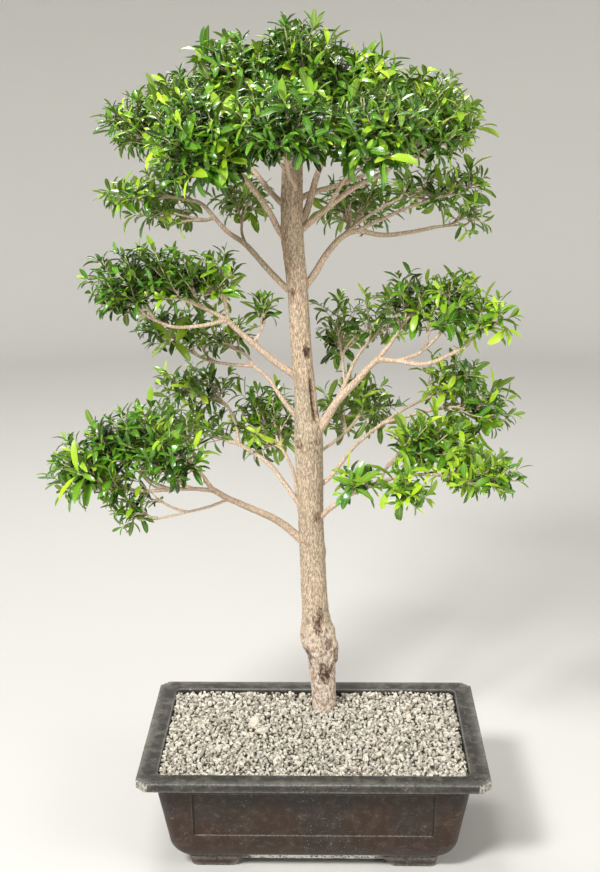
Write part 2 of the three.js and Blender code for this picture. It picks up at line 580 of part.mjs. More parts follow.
function bladeTip({ root, along, up, length }, extra = 0) {
  return root
    .clone()
    .addScaledVector(along, length + extra)
    .addScaledVector(up, extra - LEAF.droop * length);
}

// A blade on its own, from a share of its length outwards
function bladeSolid(blade, from, extra) {
  return loft([from, ...LEAF_CUTS].map((share) => bladeRing(blade, share, extra)), bladeTip(blade, extra));
}

// The four corners of a square twig that follows a curve, at a share of the way along it
function twigRing({ curve, hint, radius }, t, extra = 0) {
  const way = curve.getTangent(t);
  const up = across(way, hint);
  const side = new THREE.Vector3().crossVectors(up, way);
  const half = radius(t) / Math.SQRT2 + extra;
  return [[1, 1], [-1, 1], [-1, -1], [1, -1]].map(([out, rise]) =>
    curve.getPoint(t).addScaledVector(side, out * half).addScaledVector(up, rise * half),
  );
}

// The skin of a spray. Twigs are square, and where a shoot or a leaf stands, the twig's own face
// runs out into it, so that stem, shoots and leaves are one surface with no joins.
class SpraySkin {
  points = [];
  faces = [];

  add(list) {
    return list.map((p) => this.points.push(p) - 1);
  }

  // The order of four corners, begun at the one for which a measure is greatest
  static turned(ring, measure) {
    const order = (turn) => ring.map((_, i) => ring[(i + turn) % 4]);
    return [0, 1, 2, 3].map(order).reduce((best, next) => (measure(next) > measure(best) ? next : best));
  }

  // Runs on from four corners to the next four, with a piece grown out of some of the faces between
  bridge(base, corners, grown = []) {
    const next = this.add(corners);
    const centre = middle(corners);
    const heart = middle(base.map((i) => this.points[i]));
    const outward = corners.map((corner) => corner.clone().sub(centre));
    const likeness = (order) =>
      order.reduce((sum, at, i) => sum + this.points[at].clone().sub(heart).dot(outward[i]), 0);
    const ring = SpraySkin.turned(base, likeness);
    for (let i = 0; i < 4; i++) {
      const j = (i + 1) % 4;
      const face = [ring[i], ring[j], next[j], next[i]];
      if (grown[i]) grown[i](face);
      else this.faces.push(face[0], face[1], face[2], face[0], face[2], face[3]);
    }
    return next;
  }

  // Four corners run into the three of a blade, turned so that the skin twists least
  growBlade(base, blade) {
    const side = new THREE.Vector3().crossVectors(blade.up, blade.along);
    const at = (i, axis) => this.points[i].dot(axis);
    const slant = side.clone().add(blade.up);
    const crossSlant = side.clone().sub(blade.up);
    const fit = ([a, b, c, d]) => at(c, slant) - at(a, slant) + at(b, crossSlant) - at(d, crossSlant);
    const [a, b, c, d] = SpraySkin.turned(base, fit);
    const [inner, outer] = LEAF_CUTS.map((share) => this.add(bladeRing(blade, share)));
    const [left, right, keel] = inner;
    this.faces.push(b, c, left, c, d, right, c, right, left, d, a, right);
    this.faces.push(a, b, keel, a, keel, right, b, left, keel);
    const [tip] = this.add([bladeTip(blade)]);
    for (let i = 0; i < 3; i++) {
      const j = (i + 1) % 3;
      this.faces.push(inner[i], inner[j], outer[j], inner[i], outer[j], outer[i], outer[i], outer[j], tip);
    }
  }

  growShoot(base, shoot) {
    const half = LEAF.root / shoot.length;
    let ring = base;
    for (const { at, blades } of shoot.pairs) {
      if (!blades.some(Boolean)) continue;
      ring = this.bridge(ring, twigRing(shoot, at - half));
      const grown = blades.map((blade) => (face) => this.growBlade(face, blade));
      ring = this.bridge(ring, twigRing(shoot, at + half), grown);
    }
    this.growBlade(this.bridge(ring, twigRing(shoot, 1)), shoot.end);
  }

  // The last shoot goes on from the stem's end, and the others leave its sides on the way
  static solidOf(stem, shoots) {
    const skin = new SpraySkin();
    const first = twigRing(stem, 0);
    let ring = skin.add(first);
    const [tail] = skin.add([middle(first)]);
    ring.forEach((corner, i) => skin.faces.push(tail, ring[(i + 1) % 4], corner));
    const half = (1.4 * LEAF.root) / stem.length;
    for (const shoot of shoots.slice(0, -1)) {
      const grown = [];
      grown[shoot.face] = (face) => skin.growShoot(face, shoot);
      ring = skin.bridge(ring, twigRing(stem, shoot.leaves - half));
      ring = skin.bridge(ring, twigRing(stem, shoot.leaves + half), grown);
    }
    skin.growShoot(skin.bridge(ring, twigRing(stem, 1)), shoots.at(-1));
    return solid(skin.points, skin.faces);
  }
}

const placed = []; // every limb, twig and leaf so far, with its spray and its shoot

function remember(body, spray, shoot, isTwig = false) {
  placed.push({ body, box: body.boundingBox(), spray, shoot, isTwig });
}

function isClear(guard, skip) {
  const box = guard.boundingBox();
  const apart = (other) => [0, 1, 2].some((k) => box.max[k] < other.min[k] || other.max[k] < box.min[k]);
  return placed.every((other) => skip(other) || apart(other.box) || guard.intersect(other.body).isEmpty());
}

// The stem of a spray goes on from the end of its limb and turns in under the spray's middle
function makeStem(name) {
  const [limb, place, halfWidth, halfHeight] = SPRAYS[name];
  const { end, way, radius } = sprayRoot(limb);
  const centre = vec(place);
  const start = end.clone().addScaledVector(way, GAP);
  const hub = start.clone().lerp(centre.clone().setZ(centre.z - HUB.sunk * halfHeight), HUB.way);
  const length = hub.distanceTo(start);
  const curve = new THREE.QuadraticBezierCurve3(start, start.clone().addScaledVector(way, length * 0.5), hub);
  const hint = new THREE.Vector3(0.2, 0.1, 1);
  const thins = (t) => mix(radius, TWIG.root, t);
  return { name, curve, length, hint, halfWidth, halfHeight, centre, radius: thins };
}

// Shoots fan out from the stem to points spread evenly over the spray's rounded outline. Each is a
// twig that ends in a leaf, and it turns a little where it would meet another spray.
function makeShoots(stem, draw) {
  const { halfWidth, halfHeight, centre } = stem;
  const count = Math.max(1, Math.round((Math.PI * halfWidth * halfHeight) / SHOOT_AREA));
  const out = Math.max(halfWidth - SHOOT_INSET, 0.4 * halfWidth);
  const rise = Math.max(halfHeight - SHOOT_INSET, 0.4 * halfHeight);
  // One of the shoots goes straight on from the stem
  const forward = stem.curve.getTangent(1);
  const turn = Math.atan2(forward.y, forward.x) + 0.6 * (draw() - 0.5);
  const goals = Array.from({ length: count }, (_, k) => {
    const lift = mix(...SHOOT_LIFT, (k + 0.5) / count);
    const angle = turn + (k + 1 - count) * GOLDEN_ANGLE;
    return { lift, level: Math.sqrt(1 - lift * lift), angle, size: draw() };
  });
  const pointOf = ({ lift, level, angle }, nudge) => {
    const outward = new THREE.Vector3(Math.cos(angle + nudge), SPRAY_DEPTH * Math.sin(angle + nudge), 0);
    const tip = centre.clone().addScaledVector(outward, out * level);
    tip.z += rise * lift;
    return { tip, outward };
  };
  // The shoot that goes on most nearly straight is the last
  const ahead = (goal) => pointOf(goal, 0).tip.sub(stem.curve.getPoint(0.5)).normalize().dot(forward);
  goals.sort((one, two) => ahead(one) - ahead(two));
  const shoots = [];
  goals.forEach((goal, k) => {
    const last = k === count - 1;
    const leaves = last ? 1 : mix(...SHOOT_LEAVES, (k + 0.5) / (count - 1));
    for (const nudge of [0, 0.35, -0.35, 0.7]) {
      const { tip, outward } = pointOf(goal, nudge);
      const start = stem.curve.getPoint(leaves);
      const length = tip.distanceTo(start);
      const bend = start.clone().lerp(tip, 0.5);
      bend.z -= SHOOT_SAG * length;
      const curve = new THREE.QuadraticBezierCurve3(start, bend, tip);
      const way = curve.getTangent(1);
      const hint = outward.clone().multiplyScalar(way.z > 0.9 ? -1 : -0.3).add(new THREE.Vector3(0, 0, 1));
      const leaf = LEAF.length * mix(0.86, 1.06, goal.size);
      const end = { root: tip, along: way, up: across(way, hint), length: leaf };
      const radius = (t) => mix(TWIG.root, TWIG.tip, t);
      const shoot = { id: stem.name + k, curve, hint, length, radius, leaves, end, pairs: [] };
      const twig = (extra) => loft([0.1, 0.5, 1].map((t) => twigRing(shoot, t, extra)));
      const sameSpray = (other) => other.spray === stem.name;
      if (isClear(twig(CLEARANCE), sameSpray) && isClear(bladeSolid(end, 0.03, CLEARANCE), sameSpray)) {
        remember(twig(0), stem.name, shoot.id, true);
        remember(bladeSolid(end, 0.1, 0), stem.name, shoot.id);
        shoot.face = faceTowards(stem, leaves, middle(twigRing(shoot, 0.4)));
        shoots.push(shoot);
        break;
      }
    }
  });
  return shoots;
}

// Which face of the stem looks at a point: the faces follow its corners round
function faceTowards(stem, t, point) {
  const ring = twigRing(stem, t);
  const heart = middle(ring);
  const aim = point.clone().sub(heart);
  const look = (i) => ring[i].clone().add(ring[(i + 1) % 4]).sub(heart).sub(heart).dot(aim);
  return [0, 1, 2, 3].reduce((best, i) => (look(i) > look(best) ? i : best));
}

// Leaves stand in opposite pairs along a shoot, each pair crosswise to the last. A leaf that would
// meet another turns away from it, or is a little smaller.
function addLeaves(stem, shoot, draw) {
  const tries = [[0, 1], [0.35, 1], [-0.35, 1], [0.65, 0.95], [-0.65, 0.95], [0.2, 0.75], [-0.5, 0.7]];
  const stations = shoot.length > LONG_SHOOT ? PAIRS.long : PAIRS.short;
  const sameShoot = (other) => other.shoot === shoot.id;
  stations.forEach((at, k) => {
    const way = shoot.curve.getTangent(at);
    const up = across(way, shoot.hint);
    const corners = middle(twigRing(shoot, at));
    const blades = [];
    for (const face of k % 2 ? [0, 2] : [1, 3]) {
      const facing = up.clone().applyAxisAngle(way, radians(90 * face));
      const root = corners.clone().addScaledVector(facing, mix(TWIG.root, TWIG.tip, at) / Math.SQRT2);
      const length = LEAF.length * mix(0.82, 1.06, draw());
      for (const [nudge, size] of tries) {
        const side = facing.clone().applyAxisAngle(way, nudge);
        const along = way.clone().multiplyScalar(Math.cos(LEAF.spread));
        along.addScaledVector(side, Math.sin(LEAF.spread));
        along.z += LEAF.lift;
        along.normalize();
        const hint = way.clone().addScaledVector(side, -0.7).multiplyScalar(0.5);
        hint.z += 0.75;
        const blade = { root, along, up: across(along, hint), length: length * size };
        const clearOfOthers = isClear(bladeSolid(blade, 0.03, CLEARANCE), sameShoot);
        const ownTwigOrOther = (other) => other.isTwig || !sameShoot(other);
        if (clearOfOthers && isClear(bladeSolid(blade, 0.16, CLEARANCE / 3), ownTwigOrOther)) {
          remember(bladeSolid(blade, 0.1, 0), stem.name, shoot.id);
          blades[face] = blade;
          break;
        }
      }
    }
    shoot.pairs.push({ at, blades });
  });
}

function makeWood() {
  const rings = [footRing(FOOT.radius, -FOOT.depth), footRing(FOOT.radius, 3)];
  rings.push(...TRUNK.map((row) => trunkRing(row, FOOT.sides)));
  let wood = loft(rings);
  remember(wood, "", "");
  for (const name of Object.keys(LIMBS)) {
    const limb = makeLimb(name);
    remember(limb, "", "");
    wood = wood.add(limb);
  }
  return wood;
}

const whole = new THREE.Group();
const tree = new THREE.Group();
tree.position.set(FOOT.x, FOOT.y, GRIT_TOP);
whole.add(toMesh(makePot(), "pot", MATERIALS.pot));
whole.add(toMesh(makeScreen(-DRAIN.x), "drain_screen_left", MATERIALS.screen));
whole.add(toMesh(makeScreen(DRAIN.x), "drain_screen_right", MATERIALS.screen));
whole.add(toMesh(makeSoil(), "potting_soil", MATERIALS.soil));
whole.add(toMesh(makeGrit(), "grit", MATERIALS.grit));
tree.add(toMesh(makeWood(), "trunk", MATERIALS.bark));

const stems = Object.keys(SPRAYS).map(makeStem);
stems.forEach((stem) => remember(loft([0, 0.5, 1].map((t) => twigRing(stem, t))), stem.name, "stem", true));
const grown = stems.map((stem, i) => {
  const draw = makeDraw(SEED + i * SEED_STEP);
  return { stem, draw, shoots: makeShoots(stem, draw) };
});
for (const { stem, draw, shoots } of grown) {
  shoots.forEach((shoot) => addLeaves(stem, shoot, draw));
  const material = NEW_LEAF_SPRAYS.test(stem.name) ? MATERIALS.newLeaf : MATERIALS.leaf;
  tree.add(toMesh(SpraySkin.solidOf(stem, shoots), "spray_" + stem.name, material));
}
whole.add(tree);

// The origin goes under the middle of the whole
whole.updateMatrixWorld(true);
const bounds = new THREE.Box3().setFromObject(whole, true);
const group = new THREE.Group();
whole.position.set(-(bounds.min.x + bounds.max.x) / 2, -(bounds.min.y + bounds.max.y) / 2, -bounds.min.z);
group.add(whole);

export default group;
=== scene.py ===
"""A brush cherry bonsai in a rectangular training pot, with its bark, leaves, gravel and wear.

The tables are in millimetres and become metres as each surface is placed. Places on the tree
are measured from the trunk's foot on the gravel, and places on the pot from the middle of its
base. X runs to the right, Y to the back and Z up.
"""

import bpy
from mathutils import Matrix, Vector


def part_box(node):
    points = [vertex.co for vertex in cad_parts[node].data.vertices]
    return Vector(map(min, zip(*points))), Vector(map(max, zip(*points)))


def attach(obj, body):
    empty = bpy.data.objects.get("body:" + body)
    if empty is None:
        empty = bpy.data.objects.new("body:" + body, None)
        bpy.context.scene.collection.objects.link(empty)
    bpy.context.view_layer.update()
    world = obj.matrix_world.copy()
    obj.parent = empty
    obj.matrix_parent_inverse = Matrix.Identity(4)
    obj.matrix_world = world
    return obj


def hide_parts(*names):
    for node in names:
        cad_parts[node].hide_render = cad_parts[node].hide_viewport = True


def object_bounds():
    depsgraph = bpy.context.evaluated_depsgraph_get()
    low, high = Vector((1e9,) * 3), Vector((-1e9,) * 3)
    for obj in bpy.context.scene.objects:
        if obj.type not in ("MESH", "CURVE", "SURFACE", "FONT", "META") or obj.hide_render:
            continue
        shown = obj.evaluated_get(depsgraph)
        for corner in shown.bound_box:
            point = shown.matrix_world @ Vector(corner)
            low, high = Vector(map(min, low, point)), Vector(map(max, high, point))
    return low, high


bl_info = {
    "name": "Brush Cherry Bonsai",
    "version": (1, 0, 0),
    "blender": (4, 5, 0),
    "location": "3D View > Sidebar > Bonsai",
    "description": "Builds a brush cherry bonsai with its gravel and its training pot",
    "category": "Add Mesh",
}

import math

import bpy
import numpy as np
from mathutils import Matrix

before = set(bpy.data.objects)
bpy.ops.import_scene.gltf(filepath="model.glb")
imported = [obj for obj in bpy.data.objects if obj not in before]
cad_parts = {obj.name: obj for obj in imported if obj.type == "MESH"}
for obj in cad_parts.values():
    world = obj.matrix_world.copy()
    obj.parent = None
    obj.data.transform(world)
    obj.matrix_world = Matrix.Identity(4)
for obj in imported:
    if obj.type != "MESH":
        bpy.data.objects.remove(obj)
CAD_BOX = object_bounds()

MM = 0.001
ROOT = "root"
POT_LOW, POT_HIGH = (np.array(corner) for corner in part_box("pot"))
POT_MIDDLE = np.array([*(POT_LOW + POT_HIGH)[:2] / 2, POT_LOW[2]])
GRIT_TOP = 146
BED_TOP = GRIT_TOP - 6.5
BED_LOW = 123
HEAP = {"rise": 4, "from": 24, "reach": 40}
FOOT = np.array([13, 90, GRIT_TOP])
TREE_FOOT = POT_MIDDLE + FOOT * MM
SEED = 41

# The pot, from its middle on the ground
POT_HEIGHT = 152
RIM = {"size": (457, 308), "low": 140, "chamfer": 14, "reed": 1.6, "edge": 1.3}
OPENING = {"size": (405, 256), "corner": 9}
BODY_TOP = {"size": (414, 265), "corner": 15}
BODY_LOW = {"size": (382, 233), "corner": 15, "z": 46}
SHOULDER = {"size": (335, 200), "z": 19, "flatness": 1.3}
BAND = {"size": (333, 198), "corner": 8, "z": 15, "taper": 6, "inner": 13, "edge": 0.9}
ARCH = {"rise": 11, "ramp": 20, "foot_length": 56, "foot_depth": 36}
WALL = 4.6
FLOOR = {"underside": 16.5, "top": 20.5}
PANEL = {"half": (157, 82.5), "z": 91.5, "height": 65.5, "sunk": 1.3, "slope": 1.6}
DRAIN = {"radius": 12, "x": 95}
# Dried crust on the front of the foot band: from the middle to where it thins and ends
CRUST = {"thin": 75, "end": 95, "z": 15.8, "spread": 8.5, "front": 85}
CORNER_STEPS = 18

# Height, sideways place and diameter of the trunk
TRUNK = [
    (-62, 0, 33.4), (-2, 0, 33.4), (6, 0, 33.8), (36, -1.5, 35.8), (60, -3, 37.6), (76, -3.6, 42.5),
    (90, -4.6, 45.5), (104, -7, 45.5), (120, -10, 41.5), (146, -12.6, 38.2), (168, -13.6, 36.4),
    (206, -15, 35), (262, -17, 35), (330, -18, 36), (392, -21, 39), (423, -23, 34), (456, -25, 29.8),
    (520, -30, 28), (607, -34, 27.4), (668, -40, 30), (722, -41, 29), (766, -40, 27),
    (796, -37, 21), (826, -34, 16.5), (862, -30, 11),
]
# The trunk's slow bend to the back and the front: how far, and the height for one radian
SWAY = {"reach": 4, "height": 140}
# Knobs and hollows: height, angle about the trunk in degrees, size and reach. Where the trunk's
# radius is the one given, they reach as far round it as up and down it.
KNOB_RADIUS = 16.9
KNOBS = [
    (90, -16, 4.5, 12), (104, 204, 3, 14), (122, 220, 2, 12), (96, 265, 4, 13), (112, 60, 4, 16),
    (72, 130, 3, 14), (404, 300, 3.5, 20), (520, -54, -3, 8), (232, 20, 2, 18), (100, -56, -3, 7),
    (147, -68, -2, 8), (56, -82, -1.5, 7), (72, -34, 2.5, 8), (128, -84, -1.5, 9),
]
# Dark scars: height, angle in degrees, half height, half width and strength
SCARS = [
    (520, -54, 8, 5, 1.0), (144, -64, 9, 5, 0.8), (128, -84, 13, 6, 0.7), (100, -56, 9, 6, 0.7),
    (80, -26, 12, 5, 0.75), (54, -78, 14, 9, 0.85), (60, -46, 9, 5, 0.6), (80, -140, 12, 6, 0.75),
    (393, -129, 7, 6, 0.6), (288, -62, 9, 5, 0.5), (110, 40, 12, 8, 0.6), (66, 140, 10, 8, 0.6),
    (395, -60, 6, 8, 0.4), (600, -120, 8, 4, 0.5), (330, 80, 10, 5, 0.6),
]
# Noises on the trunk: cells round it, height of a cell and seed
BARK = {
    "burls": (9, 13, 5), "lumps": (17, 6, 11), "wander": (7, 40, 6), "cracks": (24, 17, 7),
    "fine_cracks": (36, 11, 8), "depth": (5, 30, 9), "plates": (48, 8, 10), "ragged": (20, 4, 12),
}
SEAM = {"low": 416, "high": 500, "angle": -42, "depth": 4.6, "width": 0.28}
TRUNK_ROWS = 440
TRUNK_COLUMNS = 112

# Each limb: diameter at its root and at its end, and the points that it passes through
LIMBS = {
    "low_left": (12.5, 8.5, (-15, 0, 236), (-32, 0, 252), (-62, -10, 281), (-96, -30, 305),
                 (-130, -42, 325), (-150, -50, 340)),
    "low_left_rise": (7, 5, (-150, -50, 340), (-164, -57, 364), (-184, -61, 386), (-214, -60, 396)),
    "low_left_outer": (7, 5, (-148, -49, 338), (-180, -61, 344), (-214, -71, 345),
                       (-245, -80, 347), (-272, -82, 354)),
    "low_left_trail": (4.5, 4, (-128, -41, 323), (-155, -60, 318), (-182, -70, 314), (-206, -79, 311)),
    "low_left_front": (5.5, 4.5, (-176, -60, 344), (-192, -80, 358), (-201, -96, 370)),
    "low_left_back": (6, 4.5, (-158, -53, 352), (-178, -28, 360), (-203, 0, 366), (-214, 9, 372)),
    "back_left": (8, 6, (-17, 0, 288), (-34, 2, 303), (-52, 15, 325), (-76, 35, 350),
                  (-100, 55, 362), (-122, 70, 370), (-142, 80, 374)),
    "back_left_rise": (5.5, 4.5, (-120, 69, 369), (-127, 84, 400), (-142, 95, 424), (-160, 101, 430)),
    "behind_left": (7.5, 5, (-17, 4, 250), (-34, 16, 288), (-40, 30, 330), (-48, 44, 350),
                    (-62, 62, 370)),
    "mid_left_low": (8.5, 5.5, (-22, 0, 412), (-38, 2, 428), (-60, 10, 456), (-76, 15, 479),
                     (-95, 20, 494)),
    "mid_left_far": (5.5, 4.5, (-95, 20, 494), (-130, 33, 494), (-162, 44, 498), (-185, 45, 510)),
    "mid_left_near": (5, 4, (-95, 20, 494), (-106, 34, 506), (-122, 46, 512)),
    "mid_left": (11, 8, (-28, 0, 472), (-42, -2, 488), (-66, -10, 507), (-95, -20, 535),
                 (-118, -30, 558), (-126, -35, 568)),
    "mid_left_rise": (6, 5, (-125, -34, 566), (-127, -36, 584), (-130, -38, 602)),
    "mid_left_outer": (6.5, 4.5, (-126, -35, 568), (-160, -50, 563), (-196, -60, 564), (-226, -66, 578)),
    "mid_left_top": (6.5, 4.5, (-126, -35, 568), (-152, -46, 584), (-188, -57, 602)),
    "mid_left_spur": (5.5, 4, (-94, -19, 534), (-85, -13, 545), (-80, -8, 556)),
    "high_left": (10, 5.5, (-34, 0, 592), (-52, 1, 607), (-80, 10, 635), (-105, 20, 661),
                  (-130, 34, 676), (-147, 41, 694), (-165, 52, 711), (-190, 60, 717)),
    "high_left_low": (5.5, 4.5, (-146, 41, 693), (-160, 56, 688), (-176, 72, 686)),
    "high_left_inner": (5, 4, (-104, 20, 660), (-110, 42, 674), (-111, 62, 684)),
    "crown_left": (10, 6, (-41, 0, 662), (-56, -2, 678), (-70, -10, 705), (-86, -20, 731),
                   (-104, -30, 754), (-138, -45, 768), (-166, -40, 782)),
    "crown_left_front": (7, 5, (-85, -19, 729), (-100, -50, 752), (-118, -92, 778)),
    "crown_left_back": (9, 5.5, (-41, 2, 702), (-56, 4, 717), (-72, 20, 732), (-96, 50, 757),
                        (-135, 80, 782)),
    "crown_right": (10.5, 6, (-41, 0, 668), (-25, -2, 685), (5, -15, 711), (40, -30, 739),
                    (76, -40, 758), (100, -38, 774)),
    "crown_right_front": (6.5, 5, (6, -15, 712), (24, -52, 746), (44, -94, 780)),
    "second_leader": (12, 6, (-41, 0, 676), (-27, 2, 694), (-17, 6, 720), (-8, 12, 752),
                      (10, 18, 794), (24, 16, 826)),
    "crown_right_back": (9, 5.5, (-41, 2, 712), (-24, 6, 725), (20, 30, 737), (62, 58, 752),
                         (86, 76, 774)),
    "crown_front": (8, 5, (-40, 0, 725), (-36, -18, 738), (-42, -55, 756), (-44, -100, 776),
                    (-42, -120, 788)),
    "crown_back": (9, 5.5, (-40, 2, 733), (-40, 22, 750), (-38, 60, 778), (-36, 102, 802)),
    "crown_top_left": (7, 5, (-36, 0, 786), (-52, -5, 806), (-68, -9, 832), (-86, -14, 852)),
    "high_right": (11, 5.5, (-34, 0, 598), (-18, 2, 614), (5, 18, 648), (26, 30, 669),
                   (44, 37, 675), (80, 50, 668), (116, 62, 670), (152, 70, 676)),
    "high_right_mid": (6, 4.5, (25, 29, 669), (54, 46, 690), (84, 62, 706), (108, 70, 716)),
    "high_right_front": (6, 4.5, (42, 36, 675), (72, 33, 688), (100, 28, 702), (138, 20, 717)),
    "high_right_back": (5.5, 4.5, (24, 29, 668), (36, 58, 676), (48, 84, 680)),
    "mid_right": (14, 9, (-21, 0, 392), (-4, -1, 413), (20, -11, 454), (44, -21, 482),
                  (61, -30, 504), (72, -35, 515)),
    "mid_right_tip": (8, 4.5, (72, -35, 515), (97, -41, 514), (132, -51, 512), (168, -60, 528),
                      (198, -67, 552)),
    "mid_right_top": (6, 4.5, (98, -41, 514), (126, -46, 526), (152, -48, 552), (160, -49, 570)),
    "mid_right_inner": (7, 4.5, (71, -34, 514), (89, -31, 536), (106, -26, 562)),
    "mid_right_back": (7, 5, (12, -8, 442), (29, 14, 470), (44, 38, 499), (60, 54, 518)),
    "mid_right_rear": (5, 4.5, (29, 14, 470), (27, 44, 488), (24, 72, 508)),
    "low_right_back": (5.5, 4.5, (-19, 0, 368), (0, 6, 380), (20, 25, 390), (37, 55, 398),
                       (50, 80, 410)),
    "low_right": (7.5, 5.5, (-18, 0, 322), (4, 3, 336), (22, 10, 356), (40, 15, 379),
                  (58, 20, 395), (82, 26, 412)),
    "low_right_top": (5.5, 4.5, (82, 26, 412), (110, 30, 430), (142, 34, 446)),
    "low_right_out": (5.5, 4.5, (80, 26, 411), (106, 22, 420), (134, 11, 431), (166, 2, 440)),
    "bottom_right": (8.5, 6.5, (-17, 0, 272), (-2, -4, 287), (8, -12, 300), (26, -21, 315),
                     (42, -31, 330), (76, -50, 350)),
    "bottom_right_tip": (6, 4.5, (76, -50, 350), (106, -64, 363), (142, -75, 368), (172, -80, 367)),
    "bottom_right_mid": (5.5, 4.5, (75, -49, 349), (85, -45, 370), (102, -38, 386)),
    "bottom_right_front": (5.5, 4.5, (75, -50, 350), (86, -70, 353), (94, -86, 355)),
    "bottom_right_spur": (4.5, 4, (36, -28, 325), (42, -40, 334), (46, -50, 342)),
}
LIMB_STEPS = 38
LIMB_SIDES = 10

# Each spray: its limb, its middle, half of its width and height, and how young its leaves are.
# Behind the trunk the youth is set higher, partly as painted light on leaves in the crown's shade.
SPRAYS = {
    "low_left_tip": ("low_left_outer", (-310, -80, 374), 54, 48, 0.30),
    "low_left_top": ("low_left_rise", (-258, -58, 414), 62, 46, 0.30),
    "low_left_inner": ("low_left_front", (-205, -108, 400), 48, 42, 0.25),
    "low_left_back": ("low_left_back", (-224, 30, 405), 52, 36, 0.25),
    "low_left_trail": ("low_left_trail", (-254, -86, 322), 34, 44, 0.30),
    # These sprays behind the trunk have their youth raised, partly as painted light against the crown's
    # shade.
    "back_left_far": ("back_left_rise", (-184, 112, 446), 60, 38, 0.38),
    "back_left_low": ("back_left", (-176, 100, 388), 54, 32, 0.38),
    "back_left_trunk": ("behind_left", (-88, 96, 396), 54, 62, 0.38),
    "mid_left_tip": ("mid_left_outer", (-264, -76, 612), 46, 48, 0.25),
    "mid_left_top": ("mid_left_top", (-216, -54, 632), 56, 44, 0.20),
    "mid_left_inner": ("mid_left_rise", (-152, -38, 620), 44, 44, 0.20),
    "mid_left_low": ("mid_left_far", (-212, 46, 544), 52, 32, 0.36),
    "mid_left_under": ("mid_left_near", (-140, 64, 526), 46, 36, 0.42),
    "mid_left_spur": ("mid_left_spur", (-80, 0, 576), 26, 36, 0.40),
    "high_left_tip": ("high_left", (-250, 60, 724), 58, 30, 0.55),
    "high_left_low": ("high_left_low", (-214, 98, 694), 52, 30, 0.50),
    "high_left_inner": ("high_left_inner", (-110, 96, 714), 48, 42, 0.42),
    "crown_left": ("crown_left", (-222, -24, 818), 62, 43, 0.32),
    "crown_left_back": ("crown_left_back", (-178, 105, 842), 64, 48, 0.25),
    "crown_left_front": ("crown_left_front", (-150, -128, 800), 62, 66, 0.25),
    "crown_front": ("crown_front", (-46, -156, 826), 66, 56, 0.22),
    "crown_right_front": ("crown_right_front", (62, -132, 816), 62, 56, 0.30),
    "crown_right": ("crown_right", (146, -34, 816), 62, 48, 0.42),
    "crown_right_back": ("crown_right_back", (128, 98, 838), 64, 48, 0.35),
    "crown_back": ("crown_back", (-35, 129, 846), 70, 60, 0.25),
    "crown_top_left": ("crown_top_left", (-112, -22, 888), 58, 46, 0.34),
    "crown_top": ("leader", (-34, -8, 906), 58, 44, 0.38),
    "crown_top_right": ("second_leader", (50, 12, 871), 60, 46, 0.38),
    "high_right_tip": ("high_right", (196, 76, 690), 42, 34, 0.50),
    "high_right_mid": ("high_right_mid", (140, 84, 726), 54, 40, 0.42),
    "high_right_front": ("high_right_front", (186, 12, 740), 40, 34, 0.50),
    "high_right_back": ("high_right_back", (46, 118, 706), 60, 46, 0.45),
    "mid_right_tip": ("mid_right_tip", (217, -72, 576), 38, 36, 0.58),
    "mid_right_top": ("mid_right_top", (168, -50, 594), 48, 50, 0.45),
    "mid_right_inner": ("mid_right_inner", (114, -20, 588), 46, 44, 0.36),
    "mid_right_back": ("mid_right_back", (80, 70, 548), 44, 48, 0.46),
    "mid_right_rear": ("mid_right_rear", (28, 106, 528), 44, 56, 0.46),
    "low_right_top": ("low_right_top", (178, 40, 470), 50, 40, 0.52),
    "low_right_out": ("low_right_out", (216, -2, 438), 50, 44, 0.52),
    "low_right_back": ("low_right_back", (50, 116, 414), 60, 50, 0.46),
    "low_right_mid": ("bottom_right_mid", (150, -36, 402), 64, 42, 0.56),
    "low_right_tip": ("bottom_right_tip", (211, -82, 368), 60, 32, 0.56),
    "low_right_front": ("bottom_right_front", (108, -118, 361), 40, 44, 0.60),
    "low_right_near": ("bottom_right_spur", (50, -68, 355), 34, 26, 0.66),
}
SPRAY_DEPTH = 0.92
CROWN_DEPTH = 1.08
GOLDEN_ANGLE = math.radians(137.5)
# From a shoot's tip back: distance, spread in degrees, share of full leaf length, extra youth, odds
LEAF_PAIRS = np.array([
    (0.0, 20, 0.62, 0.30, 1.00),
    (3.0, 40, 0.84, 0.18, 1.00),
    (9.0, 54, 1.00, 0.04, 0.97),
    (16.0, 62, 1.02, -0.05, 0.86),
    (24.0, 66, 0.96, -0.12, 0.66),
    (33.0, 70, 0.88, -0.16, 0.42),
])
LEAF_ROWS = np.array([0.10, 0.34, 0.62, 0.86])
TIPS_A_BRANCH = 4.6
CROWN_FROM = 760
BEHIND_THINNER = 0.45
RIGHT_THINNER = 0.2
LEAVING_ANGLE = math.radians(36)
TWIG_RADII = {"branch": (2.2, 1.15), "shoot": (1.05, 0.55)}

# Larger stones on the gravel, from the pot's middle, with their radius
LARGE_STONES = [
    (-83, 26, 11.5), (-72, -2, 7.5), (-66, 48, 8.5), (-36, 110, 6), (69, -80, 6), (86, -70, 5.5),
    (155, -63, 5), (-18, -96, 5.5), (-150, 84, 5.5), (118, 62, 5), (-128, -58, 5), (30, 20, 4.8),
]

# Layers of loose grains: spacing in radii of a grain, and depth of their middles below the grit's top
GRAIN_LAYERS = ((1.92, 1.7), (2.1, 6.6))
# Heights above the gravel between which the chalk on the trunk thins
CHALK_HEIGHTS = (60, 170)

